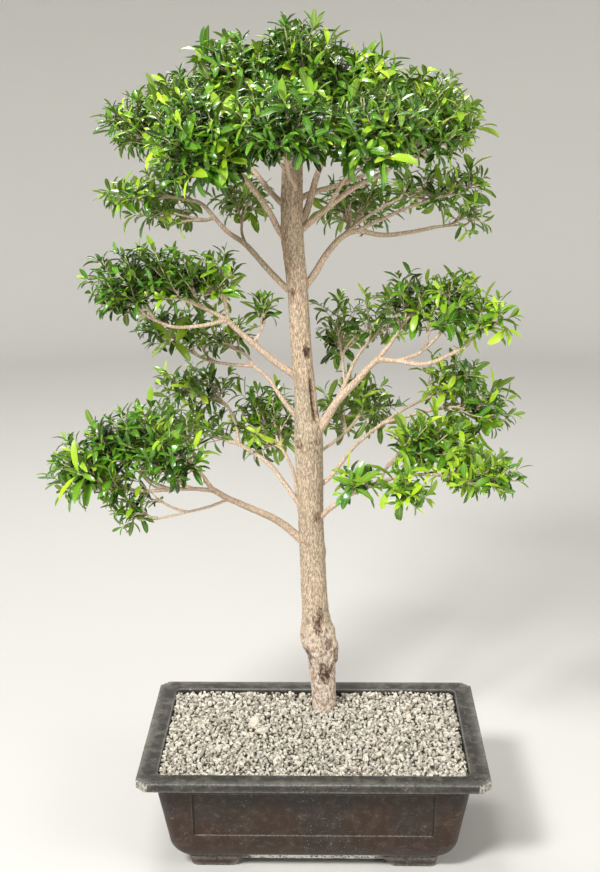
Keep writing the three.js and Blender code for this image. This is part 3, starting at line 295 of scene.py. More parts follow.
# Screen colours that aren't settings
TONES = {
    "moss": "b3a97e", "flake": "fff0d8", "chalk": "fff0e3", "scar_edge": "7d5c44", "scar_middle": "35271c",
    "pink_bark": "eab899", "limb_fissure": "846553", "twig": "c8ac90", "twig_fissure": "6b5847",
    "rib": "a9c95a", "under_rib": "c2cf8a", "pore": "6b665c", "warm_stone": "dcc3a8",
    # The near-black colour for the gravel's gaps is painted shade between the stones.
    "painted_gap_shade": "26231f", "soil": "4a382b", "wet_soil": "1f1712", "screen": "1b1b1b",
    "soil_dust": "5b4c3d", "grey_plastic": "2b2a28", "rubbed_edge": "a5a299", "fleck": "c9c6bd",
    # Below, the near-black is painted shadow down the sunk panels' sides, the grey after it a painted
    # highlight along their lower edges, and the last pale grey painted glints on the reeded rim corners.
    "scratch": "aba89f", "groove": "100d0c", "panel_edge_highlight": "8f8c84", "corner_glint": "c4c0b5",
}
GREY = (0.5, 0.5, 0.5, 1)

# The round floor, in metres
STUDIO = {"hole": 0.02, "radius": 6, "flat": 3.2, "steepness": 0.9, "rings": 60, "sides": 96, "below": 0.0002}
# The camera, from the pot's middle, with its turns in degrees
CAMERA = {"place": (22.2, -1782.6, 1051.7), "pitch": 15.092, "yaw": -1.2666, "roll": -0.3427, "lens": 58.6}


def linear(code):
    """A hexadecimal screen colour as linear red, green and blue."""
    parts = np.array([int(code[i:i + 2], 16) for i in (0, 2, 4)]) / 255
    bright = ((parts + 0.055) / 1.055) ** 2.4
    return tuple(float(part) for part in np.where(parts > 0.04045, bright, parts / 12.92))


def colour_property(name, description, code):
    return bpy.props.FloatVectorProperty(
        name=name, description=description, subtype="COLOR", size=3, min=0, max=1, default=linear(code))


def length_property(name, description, millimetres):
    return bpy.props.FloatProperty(
        name=name, description=description, subtype="DISTANCE", unit="LENGTH", min=0,
        default=millimetres * MM)


class LeafSettings(bpy.types.PropertyGroup):
    length: length_property("Length", "Length of a full-grown leaf", 27.5)
    width: length_property("Width", "Width of a full-grown leaf", 8.0)
    spacing: length_property("Shoot Spacing", "Distance between the tips of neighbouring shoots", 17.3)
    old_colour: colour_property("Old Leaf", "Upper side of the oldest leaves", "183908")
    mid_colour: colour_property("Grown Leaf", "Upper side of leaves in their first year", "508d18")
    new_colour: colour_property("New Leaf", "Upper side of the youngest leaves", "a9d024")
    under_colour: colour_property("Underside", "Underside of every leaf", "7f9c3c")


class WoodSettings(bpy.types.PropertyGroup):
    relief: length_property("Bark Relief", "Depth of the fissures in the trunk's bark", 1.2)
    bark_colour: colour_property("Bark", "Ridges of the trunk's bark", "edd0ad")
    fissure_colour: colour_property("Fissures", "Deep lines and scars in the bark", "5f4634")
    limb_colour: colour_property("Limbs", "Smoother bark of limbs and twigs", "dcbba2")
    shoot_colour: colour_property("Young Shoots", "Green ends of the twigs", "a8ad4e")


class GravelSettings(bpy.types.PropertyGroup):
    grain: length_property("Grain", "Radius of a usual grain", 3.2)
    pale_colour: colour_property("Pale Grain", "Most of the grains", "f2ecdd")
    dark_colour: colour_property("Dark Grain", "The darkest grains", "7d7566")


class PotSettings(bpy.types.PropertyGroup):
    body_colour: colour_property("Plastic", "Moulded plastic where it is clean", "38261b")
    dust_colour: colour_property("Dust", "Dust and scuffs on the plastic", "857f74")
    deposit_colour: colour_property("Mineral Deposit", "Dried mineral crust by the feet", "f6f3ea")


class StageSettings(bpy.types.PropertyGroup):
    floor_colour: colour_property("Floor", "Plain floor under the pot", "d9d7d2")
    key_power: bpy.props.FloatProperty(
        name="Key Light", description="Power of the main studio light", unit="POWER", min=0, default=150)
    fill_power: bpy.props.FloatProperty(
        name="Fill Light", description="Power of the fill light", unit="POWER", min=0, default=30)


# Shapes


def unit(vectors):
    return vectors / np.linalg.norm(vectors, axis=-1, keepdims=True)


def square_off(hints, ways):
    """The part of each hint that lies square to its way, at unit length."""
    return unit(hints - (hints * ways).sum(-1, keepdims=True) * ways)


def smooth_step(values):
    """Zero below 0, one above 1, and an S between them."""
    values = np.clip(values, 0, 1)
    return values * values * (3 - 2 * values)


def lattice_noise(x, y, seed, wrap=256):
    """Random heights from -1 to 1 on a whole-number lattice, blended by an S-curve in x and in y
    between the four that surround each point. The lattice repeats in x after wrap cells."""
    heights = np.random.default_rng(seed).uniform(-1, 1, (wrap, 256))
    cell_x = np.floor(x).astype(int)
    cell_y = np.floor(y).astype(int)
    share_x = smooth_step(x - cell_x)
    share_y = smooth_step(y - cell_y)
    left, right = cell_x % wrap, (cell_x + 1) % wrap
    low, high = cell_y % 256, (cell_y + 1) % 256
    below = heights[left, low] * (1 - share_x) + heights[right, low] * share_x
    above = heights[left, high] * (1 - share_x) + heights[right, high] * share_x
    return below * (1 - share_y) + above * share_y


def grid_quads(rows, columns):
    """Quads between the points of a grid that closes on itself along its rows."""
    index = np.arange(rows * columns).reshape(rows, columns)
    after = np.roll(index, -1, axis=1)
    return np.stack([index[:-1], after[:-1], after[1:], index[1:]], -1).reshape(-1, 4)


def end_fans(rows, columns):
    """Triangles that close such a grid to one point at its start and one at its end. Those two
    points follow the grid's own."""
    ring = np.arange(columns)
    after = np.roll(ring, -1)
    count = rows * columns
    last = count - columns
    start = np.stack([np.full(columns, count), after, ring], -1)
    end = np.stack([np.full(columns, count + 1), last + ring, last + after], -1)
    return np.concatenate([start, end])


def repeat_faces(faces, copies, step):
    """The same faces for each copy of a shape whose points follow each other in equal blocks."""
    return (faces[None] + step * np.arange(copies)[:, None, None]).reshape(-1, faces.shape[1])


class Skin:
    """Gathers points, faces and point values of one mesh, and puts them into a Blender object."""

    def __init__(self):
        self.points, self.faces, self.slots, self.values, self.places = [], [], [], [], []
        self.count = 0

    def add(self, points, face_sets, slot_sets, values, places=None):
        """Adds points, arrays of faces with the material slot of each face, a dictionary of
        values for each point, and the places of the points on a flat map."""
        points = points.reshape(-1, 3)
        self.points.append(points)
        for faces, slots in zip(face_sets, slot_sets):
            self.faces.append(faces + self.count)
            self.slots.append(np.broadcast_to(slots, len(faces)))
        self.values.append({key: np.broadcast_to(value, len(points)) for key, value in values.items()})
        self.places.append(np.zeros((len(points), 2)) if places is None else places)
        self.count += len(points)

    def to_object(self, name, origin, materials, smooth=True, sharp=None):
        """One mesh object, in metres. Edges whose two ends are both sharp points are creases."""
        mesh = bpy.data.meshes.new(name)
        points = np.concatenate(self.points) * MM + origin
        corners = np.concatenate([faces.ravel() for faces in self.faces])
        sizes = np.concatenate([np.full(len(faces), faces.shape[1]) for faces in self.faces])
        mesh.vertices.add(len(points))
        mesh.vertices.foreach_set("co", points.ravel())
        mesh.loops.add(len(corners))
        mesh.loops.foreach_set("vertex_index", corners)
        mesh.polygons.add(len(sizes))
        mesh.polygons.foreach_set("loop_start", np.concatenate([[0], np.cumsum(sizes)[:-1]]))
        mesh.polygons.foreach_set("material_index", np.concatenate(self.slots))
        mesh.polygons.foreach_set("use_smooth", np.full(len(sizes), smooth))
        mesh.update(calc_edges=True)
        for key in self.values[0]:
            layer = mesh.attributes.new(key, "FLOAT", "POINT")
            layer.data.foreach_set("value", np.concatenate([values[key] for values in self.values]))
        flat = mesh.uv_layers.new(name="UVMap")
        flat.data.foreach_set("uv", np.concatenate(self.places)[corners].ravel())
        if sharp is not None:
            ends = np.empty(2 * len(mesh.edges), dtype=np.int32)
            mesh.edges.foreach_get("vertices", ends)
            crease = sharp[ends.reshape(-1, 2)].all(axis=1)
            mesh.attributes.new("sharp_edge", "BOOLEAN", "EDGE").data.foreach_set("value", crease)
        for material in materials:
            mesh.materials.append(material)
        made = bpy.data.objects.new(name, mesh)
        bpy.context.scene.collection.objects.link(made)
        return made


def settle(piece, slot, *nodes):
    """Fastens a finished piece to the pot and hides the given nodes of the frame."""
    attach(piece, ROOT)
    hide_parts(*nodes)


def trunk_sway(z):
    return SWAY["reach"] * np.sin(z / SWAY["height"])


def bark_noise(name, around, z):
    cells, height, seed = BARK[name]
    return lattice_noise(around * cells, z / height, seed, cells)


def turn_from(angle, degrees):
    """How far an angle lies from another, from 0 to pi."""
    return np.abs((angle - math.radians(degrees) + 3 * math.pi) % (2 * math.pi) - math.pi)


def trunk_shape(relief):
    """The trunk as a grid of heights and angles. Its radius is half the table's diameter, averaged
    over 14 mm of height, with three slow lobes, a bell-shaped swelling for each knob, a bell-shaped
    groove for the seam, burls on the swollen part, and bark: narrow cracks where the size of a
    noise that is stretched upwards is near zero, and low plates from a finer one."""
    table = np.array(TRUNK, dtype=float)
    fine = np.arange(table[0, 0] - 20, table[-1, 0] + 20)
    window = np.hanning(15)[1:-1]
    window /= window.sum()
    columns = [np.convolve(np.interp(fine, table[:, 0], column), window, "same") for column in table.T[1:]]
    z = np.linspace(table[0, 0], table[-1, 0], TRUNK_ROWS)[:, None]
    angle = (2 * math.pi * np.arange(TRUNK_COLUMNS) / TRUNK_COLUMNS)[None, :]
    middle, diameter = (np.interp(z, fine, column) for column in columns)
    above = np.clip(z / 40, 0, 1)
    radius = diameter / 2 * (1 + 0.035 * np.sin(3 * angle + z / 60) * above)
    for height, degrees, size, reach in KNOBS:
        aside = turn_from(angle, degrees) * KNOB_RADIUS / reach
        radius += size * np.exp(-(((z - height) / reach) ** 2) - aside ** 2)
    in_seam = smooth_step((z - SEAM["low"]) / 14) * smooth_step((SEAM["high"] - z) / 30)
    seam = in_seam * np.exp(-((turn_from(angle, SEAM["angle"]) / SEAM["width"]) ** 2))
    radius -= SEAM["depth"] * seam
    around = angle / (2 * math.pi)
    burl = np.exp(-(((z - 98) / 34) ** 2)) * bark_noise("burls", around, z)
    lumps = np.exp(-(((z - 92) / 44) ** 2)) * bark_noise("lumps", around, z)
    radius += 2.2 * burl + 1.3 * lumps
    wander = 0.02 * bark_noise("wander", around, z)
    first = np.abs(bark_noise("cracks", around + wander, z))
    second = np.abs(bark_noise("fine_cracks", around - wander, z))
    crack = np.maximum(smooth_step((0.26 - first) / 0.26), 0.7 * smooth_step((0.2 - second) / 0.2))
    crack = crack * (0.55 + 0.45 * bark_noise("depth", around, z))
    crack = np.clip(crack + 0.5 * np.clip(-lumps, 0, 1), 0, 1)
    plates = 0.4 * bark_noise("plates", around, z)
    shown = smooth_step((z + 8) / 10)
    radius += shown * relief * (plates - crack) * np.clip(diameter / 36, 0.45, 1.1)
    scar = 0.9 * seam
    for height, degrees, tall, wide, strength in SCARS:
        away = ((z - height) / tall) ** 2 + (turn_from(angle, degrees) * diameter / 2 / wide) ** 2
        ragged = away * (1 + 0.5 * bark_noise("ragged", around, z))
        scar = np.maximum(scar, strength * np.clip(1.25 - 0.6 * ragged, 0, 1))
    pink = np.clip(1.1 - np.abs(z - 30) / 70, 0, 1) + 0.5 * np.clip((z - 420) / 200, 0, 1)
    across = middle + radius * np.cos(angle)
    deep = trunk_sway(np.maximum(z, 0)) + radius * np.sin(angle)
    points = np.stack([across, deep, np.broadcast_to(z, across.shape)], -1).reshape(-1, 3)
    ends = [(middle[i, 0], trunk_sway(max(z[i, 0], 0)), z[i, 0]) for i in (0, -1)]
    values = {"crack": crack, "scar": scar, "pink": np.broadcast_to(np.clip(pink, 0, 1), crack.shape)}
    values = {key: np.append(value.ravel(), [0, 0]) for key, value in values.items()}
    return np.concatenate([points, ends]), values


def passing_through(knots, steps):
    """A smooth line through points, at equal distances along it. Between two points it is the
    centripetal Catmull-Rom curve: a blend of blends of the straight lines through four points."""
    knots = np.array(knots, dtype=float)
    knots = np.concatenate([[2 * knots[0] - knots[1]], knots, [2 * knots[-1] - knots[-2]]])
    gaps = np.sqrt(np.linalg.norm(np.diff(knots, axis=0), axis=1))
    times = np.concatenate([[0], np.cumsum(gaps)])
    pieces = []
    for i in range(1, len(knots) - 2):
        t = np.linspace(times[i], times[i + 1], 40)[:, None]
        a, b, c, d = knots[i - 1:i + 3]
        ta, tb, tc, td = times[i - 1:i + 3]
        ab = ((tb - t) * a + (t - ta) * b) / (tb - ta)
        bc = ((tc - t) * b + (t - tb) * c) / (tc - tb)
        cd = ((td - t) * c + (t - tc) * d) / (td - tc)
        abc = ((tc - t) * ab + (t - ta) * bc) / (tc - ta)
        bcd = ((td - t) * bc + (t - tb) * cd) / (td - tb)
        pieces.append(((tc - t) * abc + (t - tb) * bcd) / (tc - tb))
    line = np.concatenate(pieces)
    run = np.concatenate([[0], np.cumsum(np.linalg.norm(np.diff(line, axis=0), axis=1))])
    wanted = np.linspace(0, run[-1], steps)
    return np.stack([np.interp(wanted, run, line[:, k]) for k in range(3)], -1)


def pulled_curves(starts, pulls, ends, shares):
    """Points of curves from starts to ends that are pulled towards a third point: the weights are
    (1 - t) squared, 2 t (1 - t) and t squared at each share t."""
    t = np.broadcast_to(shares, (len(starts), np.shape(shares)[-1]))[..., None]
    return (1 - t) ** 2 * starts[:, None] + 2 * t * (1 - t) * pulls[:, None] + t ** 2 * ends[:, None]


def add_tubes(skin, lines, radii, sides, slot, values):
    """Tubes along many lines of equal numbers of points. At each point stands a ring, square to
    the line's run, about two axes that are square to it and to a fixed hint."""
    tubes, steps, _ = lines.shape
    ways = unit(np.gradient(lines, axis=1))
    upright = np.abs(unit(lines[:, -1] - lines[:, 0])[:, 2:]) > 0.9
    hints = np.where(upright, [1.0, 0, 0], [0, 0, 1.0])[:, None]
    first = square_off(np.broadcast_to(hints, ways.shape), ways)
    second = np.cross(ways, first)
    angle = 2 * math.pi * np.arange(sides) / sides
    rings = np.cos(angle)[:, None] * first[:, :, None] + np.sin(angle)[:, None] * second[:, :, None]
    radii = radii if radii.ndim == 3 else radii[..., None]
    points = (lines[:, :, None] + radii[..., None] * rings).reshape(tubes, -1, 3)
    tips = lines[:, -1] + ways[:, -1] * radii[:, -1].mean(-1, keepdims=True) * 0.7
    points = np.concatenate([points, lines[:, :1], tips[:, None]], axis=1)
    block = points.shape[1]
    faces = [repeat_faces(kind(steps, sides), tubes, block) for kind in (grid_quads, end_fans)]
    spread = {}
    for key, value in values.items():
        rows = np.repeat(np.broadcast_to(value, (tubes, steps)), sides, axis=1)
        spread[key] = np.concatenate([rows, rows[:, :1], rows[:, -1:]], axis=1).ravel()
    skin.add(points, faces, [slot, slot], spread)


def leaf_outline(share):
    """Half of a leaf's width for a share of its length: a narrow stalk, then a power of the
    parabola 4 u (1 - u), which is fuller towards the tip."""
    blade = np.clip((share - 0.06) / 0.94, 0, 1)
    return np.maximum((4 * blade * (1 - blade)) ** 0.75 * (0.86 + 0.28 * blade), 0.05 * (share < 0.2))


def add_leaves(skin, roots, ways, ups, sizes, bends, folds, youth, shade):
    """Leaves as closed blades. Between root and tip stand four rows of a rib on top, an edge, a
    rib beneath and the other edge. The edges are lifted by the fold, and the whole blade is
    rolled into an arc of the given bend, away from its upper face. Returns which of the points
    are on a rim."""
    along = np.concatenate([np.repeat(LEAF_ROWS, 4), [0, 1]])
    row = len(LEAF_ROWS)
    out = np.concatenate([np.tile([0, 1, 0, -1], row), [0, 0]])
    under = np.concatenate([np.tile([0, 0, 1, 0], row), [0, 0]])
    half = leaf_outline(along) * out
    length, width = sizes[:, :1], sizes[:, 1:]
    across = half * width / 2
    lift = folds[:, None] * np.abs(across) - under * (0.25 + 0.35 * leaf_outline(along))
    turn = bends[:, None] * along
    forward = length * np.sin(turn) / bends[:, None] + lift * np.sin(turn)
    rise = lift * np.cos(turn) - length * (1 - np.cos(turn)) / bends[:, None]
    sides = np.cross(ways, ups)
    points = roots[:, None] + forward[..., None] * ways[:, None] + rise[..., None] * ups[:, None]
    points = points + across[..., None] * sides[:, None]
    count, block = len(roots), len(along)
    one_leaf = (grid_quads(row, 4), end_fans(row, 4))
    faces = [repeat_faces(faces, count, block) for faces in one_leaf]
    slots = [np.tile([1, 2, 2, 1], len(faces) // 4 * count) for faces in one_leaf]
    places = np.tile(np.stack([0.5 + 0.5 * out, along], -1), (count, 1))
    values = {"youth": np.repeat(youth, block), "shade": np.repeat(shade, block)}
    skin.add(points, faces, slots, values, places)
    return np.tile(np.concatenate([np.tile([False, True], 2 * row), [True, True]]), count)


def limb_radius(diameter):
    """Half of a limb's drawn diameter. Thin limbs are drawn a little thinner than the table's."""
    return diameter * (0.39 + 0.007 * diameter)


def limb_end(limb):
    """A limb's line, its direction at the end and its radius there. The leader is the trunk's top."""
    if limb == "leader":
        z, x, diameter = TRUNK[-1]
        line = np.stack([[x, trunk_sway(z - step), z - step] for step in np.linspace(60, 0, 24)])
        return line, np.array([0, 0, 1.0]), diameter / 2
    line = passing_through(LIMBS[limb][2:], LIMB_STEPS)
    return line, unit(line[-1] - line[-2]), limb_radius(LIMBS[limb][1])


def spiral_directions(count, lowest, phase):
    """Directions spread evenly over a ball above a lowest height, each turned on by the golden
    angle from the last."""
    order = np.arange(count)
    rise = lowest + (0.98 - lowest) * (order + 0.5) / count
    level = np.sqrt(1 - rise ** 2)
    angle = phase + order * GOLDEN_ANGLE
    return np.stack([level * np.cos(angle), level * np.sin(angle), rise], -1)


def shoot_tips(centre, half, spacing, rng):
    """Where the shoots of a spray end: along spiral directions, most of them near the spray's
    rounded outline, the rest further in. A slow noise pushes parts of the outline out and in.
    Below the crown, sprays are more ragged, and those behind the trunk and on the right are thinner."""
    room = np.maximum(half - [11, 11, 8], 0.6 * half)
    volume = 4 / 3 * math.pi * room[0] ** 2 * SPRAY_DEPTH * room[2]
    below = centre[2] < CROWN_FROM
    behind = np.clip((centre[1] - 10) / 60, 0, 1) * below
    right = np.clip(centre[0] / 60, 0, 1) * below
    density = (1 - BEHIND_THINNER * behind) * (1 - RIGHT_THINNER * right) / (0.8 * spacing ** 3)
    count = max(12, round(density * volume))
    outer = round(0.62 * count)
    toward = np.concatenate([
        spiral_directions(outer, -0.8, rng.uniform(0, 6)),
        spiral_directions(count - outer, -0.6, rng.uniform(0, 6))])
    toward = unit(toward + rng.normal(0, 0.07, toward.shape))
    share = np.concatenate([rng.uniform(0.84, 1.1, outer), rng.uniform(0.22, 0.8, count - outer)])
    x, y, z = toward.T
    bulge = lattice_noise(1.7 * x + 20, 1.7 * y + 1.3 * z + 20, int(rng.integers(1e6)))
    share = share * (1 + (0.2 + 0.12 * below) * bulge)
    return centre + toward * room * share[:, None]


def add_branches(skin, limb_line, stem_line, tips, rng):
    """Gathers the tips into groups, and runs a thin branch to each group. It leaves the limb's
    outer part or the stem where the way to the group makes the usual angle with it. Returns each
    tip's branch and the start, pull and end points of the branches."""
    count = max(3, round(len(tips) / TIPS_A_BRANCH))
    seeds = tips[rng.permutation(len(tips))[:count]]
    for _ in range(6):
        branch_of = np.linalg.norm(tips[:, None] - seeds[None], axis=2).argmin(axis=1)
        kept, branch_of = np.unique(branch_of, return_inverse=True)
        seeds = np.stack([tips[branch_of == k].mean(axis=0) for k in range(len(kept))])
    path = np.concatenate([limb_line[-round(0.6 * len(limb_line)):-1], stem_line])
    ways = unit(np.gradient(path, axis=0))
    reach = seeds[:, None] - path[None]
    run = np.linalg.norm(reach, axis=2)
    angle = np.arccos(np.clip((reach * ways).sum(-1) / run, -1, 1))
    chosen = (np.abs(angle - LEAVING_ANGLE) * 60 + 0.22 * run).argmin(axis=1)
    starts, ways = path[chosen], ways[chosen]
    run = run[np.arange(len(seeds)), chosen][:, None]
    toward = seeds - starts
    forks = starts + 0.62 * toward + rng.normal(0, 1.5, seeds.shape)
    pulls = starts + 0.3 * run * unit(ways + 0.7 * unit(toward)) + rng.normal(0, 0.04, seeds.shape) * run
    steps = np.linspace(0, 1, 7)
    lines = pulled_curves(starts, pulls, forks, steps)
    thins = np.linspace(*TWIG_RADII["branch"], 7)[None] * rng.uniform(0.8, 1.2, (len(seeds), 1))
    shades = rng.uniform(size=(len(seeds), 1))
    add_tubes(skin, lines, thins, 5, 0, {"youth": 0.05 + 0.25 * steps, "shade": shades})
    return branch_of, (starts, pulls, forks)


def add_spray(skin, name, rng, leaf):
    """The twigs and leaves of one spray. A stem goes on from the limb and turns in under the
    spray's middle, branches leave it, and from each branch shoots fan out to the tips. Leaves
    stand in opposite pairs, each crosswise to the last. Returns which points are on a leaf's rim."""
    limb, place, half_width, half_height, youth = SPRAYS[name]
    limb_line, way, radius = limb_end(limb)
    start = limb_line[-1]
    centre = np.array(place, dtype=float)
    deep = CROWN_DEPTH if centre[2] > CROWN_FROM else SPRAY_DEPTH
    half = np.array([half_width, half_width * deep, half_height])
    hub = start + 0.8 * (centre - [0, 0, 0.35 * half_height] - start)
    knee = start + way * 0.5 * np.linalg.norm(hub - start)
    stem = (start[None] - 4 * way, knee[None], hub[None])
    steps = np.linspace(0, 1, 8)
    stem_line = pulled_curves(*stem, steps)
    thins = radius + (1.3 - radius) * steps[None]
    add_tubes(skin, stem_line, thins, 7, 0, {"youth": 0.12 * steps, "shade": rng.uniform()})

    tips = shoot_tips(centre, half, leaf.spacing / MM, rng)
    branch_of, branches = add_branches(skin, limb_line, stem_line[0], tips, rng)
    shoots = len(tips)
    part = rng.uniform(0.3, 1.0, shoots)
    a, b, c = (corner[branch_of] for corner in branches)
    base = pulled_curves(a, b, c, part[:, None])[:, 0]
    base_way = unit(c - b)
    distance = np.linalg.norm(tips - base, axis=1, keepdims=True)
    sag = distance * np.array([0, 0, 0.12])
    bend_to = base + 0.45 * distance * unit(base_way + 0.8 * unit(tips - base)) - sag
    steps = np.linspace(0, 1, 5)
    lines = pulled_curves(base, bend_to, tips, steps)
    thins = np.linspace(*TWIG_RADII["shoot"], 5)[None] * rng.uniform(0.85, 1.15, (shoots, 1))
    patch = lattice_noise(tips[:, 0] / 34 + 40, (tips[:, 2] + 0.6 * tips[:, 1]) / 34 + 40, 77)
    fresh = np.clip(youth * (0.35 + rng.exponential(0.6, shoots)) + 0.14 * patch, 0, 1)
    ripe = np.clip(0.05 + 0.7 * steps[None] + 0.4 * (fresh[:, None] - 0.3), 0, 1)
    add_tubes(skin, lines, thins, 4, 0, {"youth": ripe, "shade": rng.uniform(size=(shoots, 1))})
    bare = skin.count
    inward = np.linalg.norm((tips - centre) / half, axis=1)
    leaves = paired_leaves((base, bend_to, tips), distance, fresh, inward, leaf, rng)
    return np.concatenate([np.zeros(bare, dtype=bool), add_leaves(skin, **leaves)])


def paired_leaves(shoots, distance, fresh, inward, leaf, rng):
    """The leaves of many shoots as arrays. A pair stands at each distance of the table, opens by
    its spread, and its blades turn their upper side up and towards the shoot's tip."""
    back, spread, grown, younger, odds = (column[None] for column in LEAF_PAIRS.T)
    back = back * rng.uniform(0.8, 1.25, (len(fresh), 1))
    at = np.clip(1 - back / distance, 0, 1)
    here = pulled_curves(*shoots, at)
    ahead = pulled_curves(*shoots, np.clip(at + 0.03, 0, 1))
    behind = pulled_curves(*shoots, np.clip(at - 0.03, 0, 1))
    twig_ways = unit(ahead - behind)
    hint = square_off(np.broadcast_to([0.3, 0.1, 1.0], twig_ways.shape), twig_ways)
    other = np.cross(twig_ways, hint)
    quarter = rng.uniform(0, 2 * math.pi, (len(fresh), 1)) + np.arange(at.shape[1]) * math.pi / 2
    fullness = np.clip(0.3 + 0.8 * inward, 0.5, 1)[:, None]
    vigour = 1 + 0.25 * (fresh[:, None] - 0.3) + rng.normal(0, 0.12, (len(fresh), 1))
    large = (rng.uniform(size=(len(fresh), 1)) > 0.86) & (inward[:, None] > 0.6)
    sides = []
    for side in (0, math.pi):
        stand = (at > 0.16) & (rng.uniform(size=at.shape) < odds * fullness)
        around = quarter + side + rng.normal(0, 0.25, quarter.shape)
        radial = np.cos(around)[..., None] * hint + np.sin(around)[..., None] * other
        opens = np.radians(spread + rng.normal(0, 10, at.shape))[..., None]
        ways = np.cos(opens) * twig_ways + np.sin(opens) * radial
        ways[..., 2] += rng.normal(0.12, 0.14, at.shape)
        ways = unit(ways)
        faces_up = twig_ways * 0.8 - radial * 0.3 + [0, 0, 0.75] + rng.normal(0, 0.3, ways.shape)
        size = np.clip(grown * vigour * rng.uniform(0.58, 1.15, at.shape), 0.4, 1.3)
        size += 0.5 * large * (rng.uniform(size=at.shape) > 0.45)
        widths = size * leaf.width / MM * rng.uniform(0.72, 1.18, at.shape)
        age = fresh[:, None] + younger + 0.18 * large + rng.normal(0, 0.1, at.shape)
        made = {
            "roots": here, "ways": ways, "ups": square_off(faces_up, ways),
            "sizes": np.stack([size * leaf.length / MM, widths], -1),
            "bends": rng.uniform(0.15, 1.5, at.shape), "folds": rng.uniform(0.1, 0.45, at.shape),
            "youth": np.clip(age, 0, 1), "shade": rng.uniform(size=at.shape)}
        sides.append({key: value[stand] for key, value in made.items()})
    return {key: np.concatenate([made[key] for made in sides]) for key in sides[0]}


def corner_side(quarter):
    """Which side of the middle a corner is on, in x and in y. Corners are counted to the left."""
    return np.array([1 if quarter in (0, 3) else -1, 1 if quarter < 2 else -1])


def rounded_corner(size, corner, quarter):
    """One rounded corner of a rectangle, turning to the left seen from above."""
    angle = np.radians(90 * (quarter + np.arange(CORNER_STEPS + 1) / CORNER_STEPS))
    middle = corner_side(quarter) * (np.array(size) / 2 - corner)
    return middle + corner * np.stack([np.cos(angle), np.sin(angle)], -1)


def reeded_corner(inset, quarter):
    """One corner of the rim: cut off straight, with three upright round reeds along the cut."""
    side = corner_side(quarter)
    t = np.arange(CORNER_STEPS + 1) / CORNER_STEPS
    t = t[::-1] if side[0] != side[1] else t
    proud = (RIM["reed"] * np.abs(np.sin(3 * math.pi * t)) - inset) / math.sqrt(2)
    width, depth = RIM["size"]
    x = width / 2 - RIM["chamfer"] * t + proud
    y = depth / 2 - RIM["chamfer"] * (1 - t) + proud
    return side * np.stack([x, y], -1)


def side_shares(ramps, panel):
    """Shares of a straight side where the rings have a point: close together at the foot ramps
    and at the panel's edge, and wider apart between them."""
    half = np.unique(np.concatenate([
        np.linspace(0, ramps[0], 7), np.linspace(*ramps, 10), np.linspace(ramps[1], panel[0], 4),
        np.linspace(*panel, 14), np.linspace(panel[1], 1, 3)]))
    half = half[(half > 0) & (half < 1)]
    return np.concatenate([-half[::-1], [0], half])


LONG_SHARES = side_shares((0.56, 0.73), (0.82, 0.892))
SHORT_SHARES = side_shares((0.46, 0.70), (0.71, 0.808))


def ring_of(corner_of):
    """A closed ring: each rounded corner, then the straight side that follows it."""
    corners = [corner_of(quarter) for quarter in range(4)]
    pieces = []
    for quarter, corner in enumerate(corners):
        share = SHORT_SHARES if quarter % 2 else LONG_SHARES
        begin, finish = corner[-1], corners[(quarter + 1) % 4][0]
        pieces += [corner, begin + (0.5 + 0.5 * share[:, None]) * (finish - begin)]
    return np.concatenate(pieces)


def plain_ring(size, corner):
    return ring_of(lambda quarter: rounded_corner(size, corner, quarter))


def arch_height(ring):
    """How far the band is lifted off the ground: level between the feet, and an S-shaped ramp
    down to each foot, along whichever side a point lies on."""
    def between(place, half, foot):
        return smooth_step((half - foot - np.abs(place)) / ARCH["ramp"])
    width, depth = BAND["size"]
    along = between(ring[:, 0], width / 2, ARCH["foot_length"])
    aside = between(ring[:, 1], depth / 2, ARCH["foot_depth"])
    return ARCH["rise"] * np.maximum(along, aside)


def sink_panels(ring, z):
    """Moves a ring of the pot's wall inwards where a panel is sunk in each of its four sides."""
    rise = smooth_step((PANEL["height"] / 2 - abs(z - PANEL["z"])) / PANEL["slope"] + 0.5)
    moved = ring.copy()
    for axis in (0, 1):
        half = PANEL["half"][axis]
        other = 1 - axis
        on_side = np.abs(ring[:, other]) > np.abs(ring[:, other]).max() - 0.5
        wide = smooth_step((half - np.abs(ring[:, axis])) / PANEL["slope"] + 0.5)
        moved[:, other] -= np.sign(ring[:, other]) * PANEL["sunk"] * rise * wide * on_side
    return moved


def bottom_curve(turn):
    """The rounded bottom's way out and its drop as shares, for a turn up to a right angle: a
    circle's sine and cosine, flattened by a power."""
    return math.sin(turn) ** SHOULDER["flatness"], max(math.cos(turn), 0) ** SHOULDER["flatness"]


def blend(low, high, share):
    return np.array(low) * (1 - share) + np.array(high) * share


def wall_size(z):
    """The outside of the body at a height between its bottom curve and the rim."""
    return blend(BODY_LOW["size"], BODY_TOP["size"], (z - BODY_LOW["z"]) / (RIM["low"] - BODY_LOW["z"]))


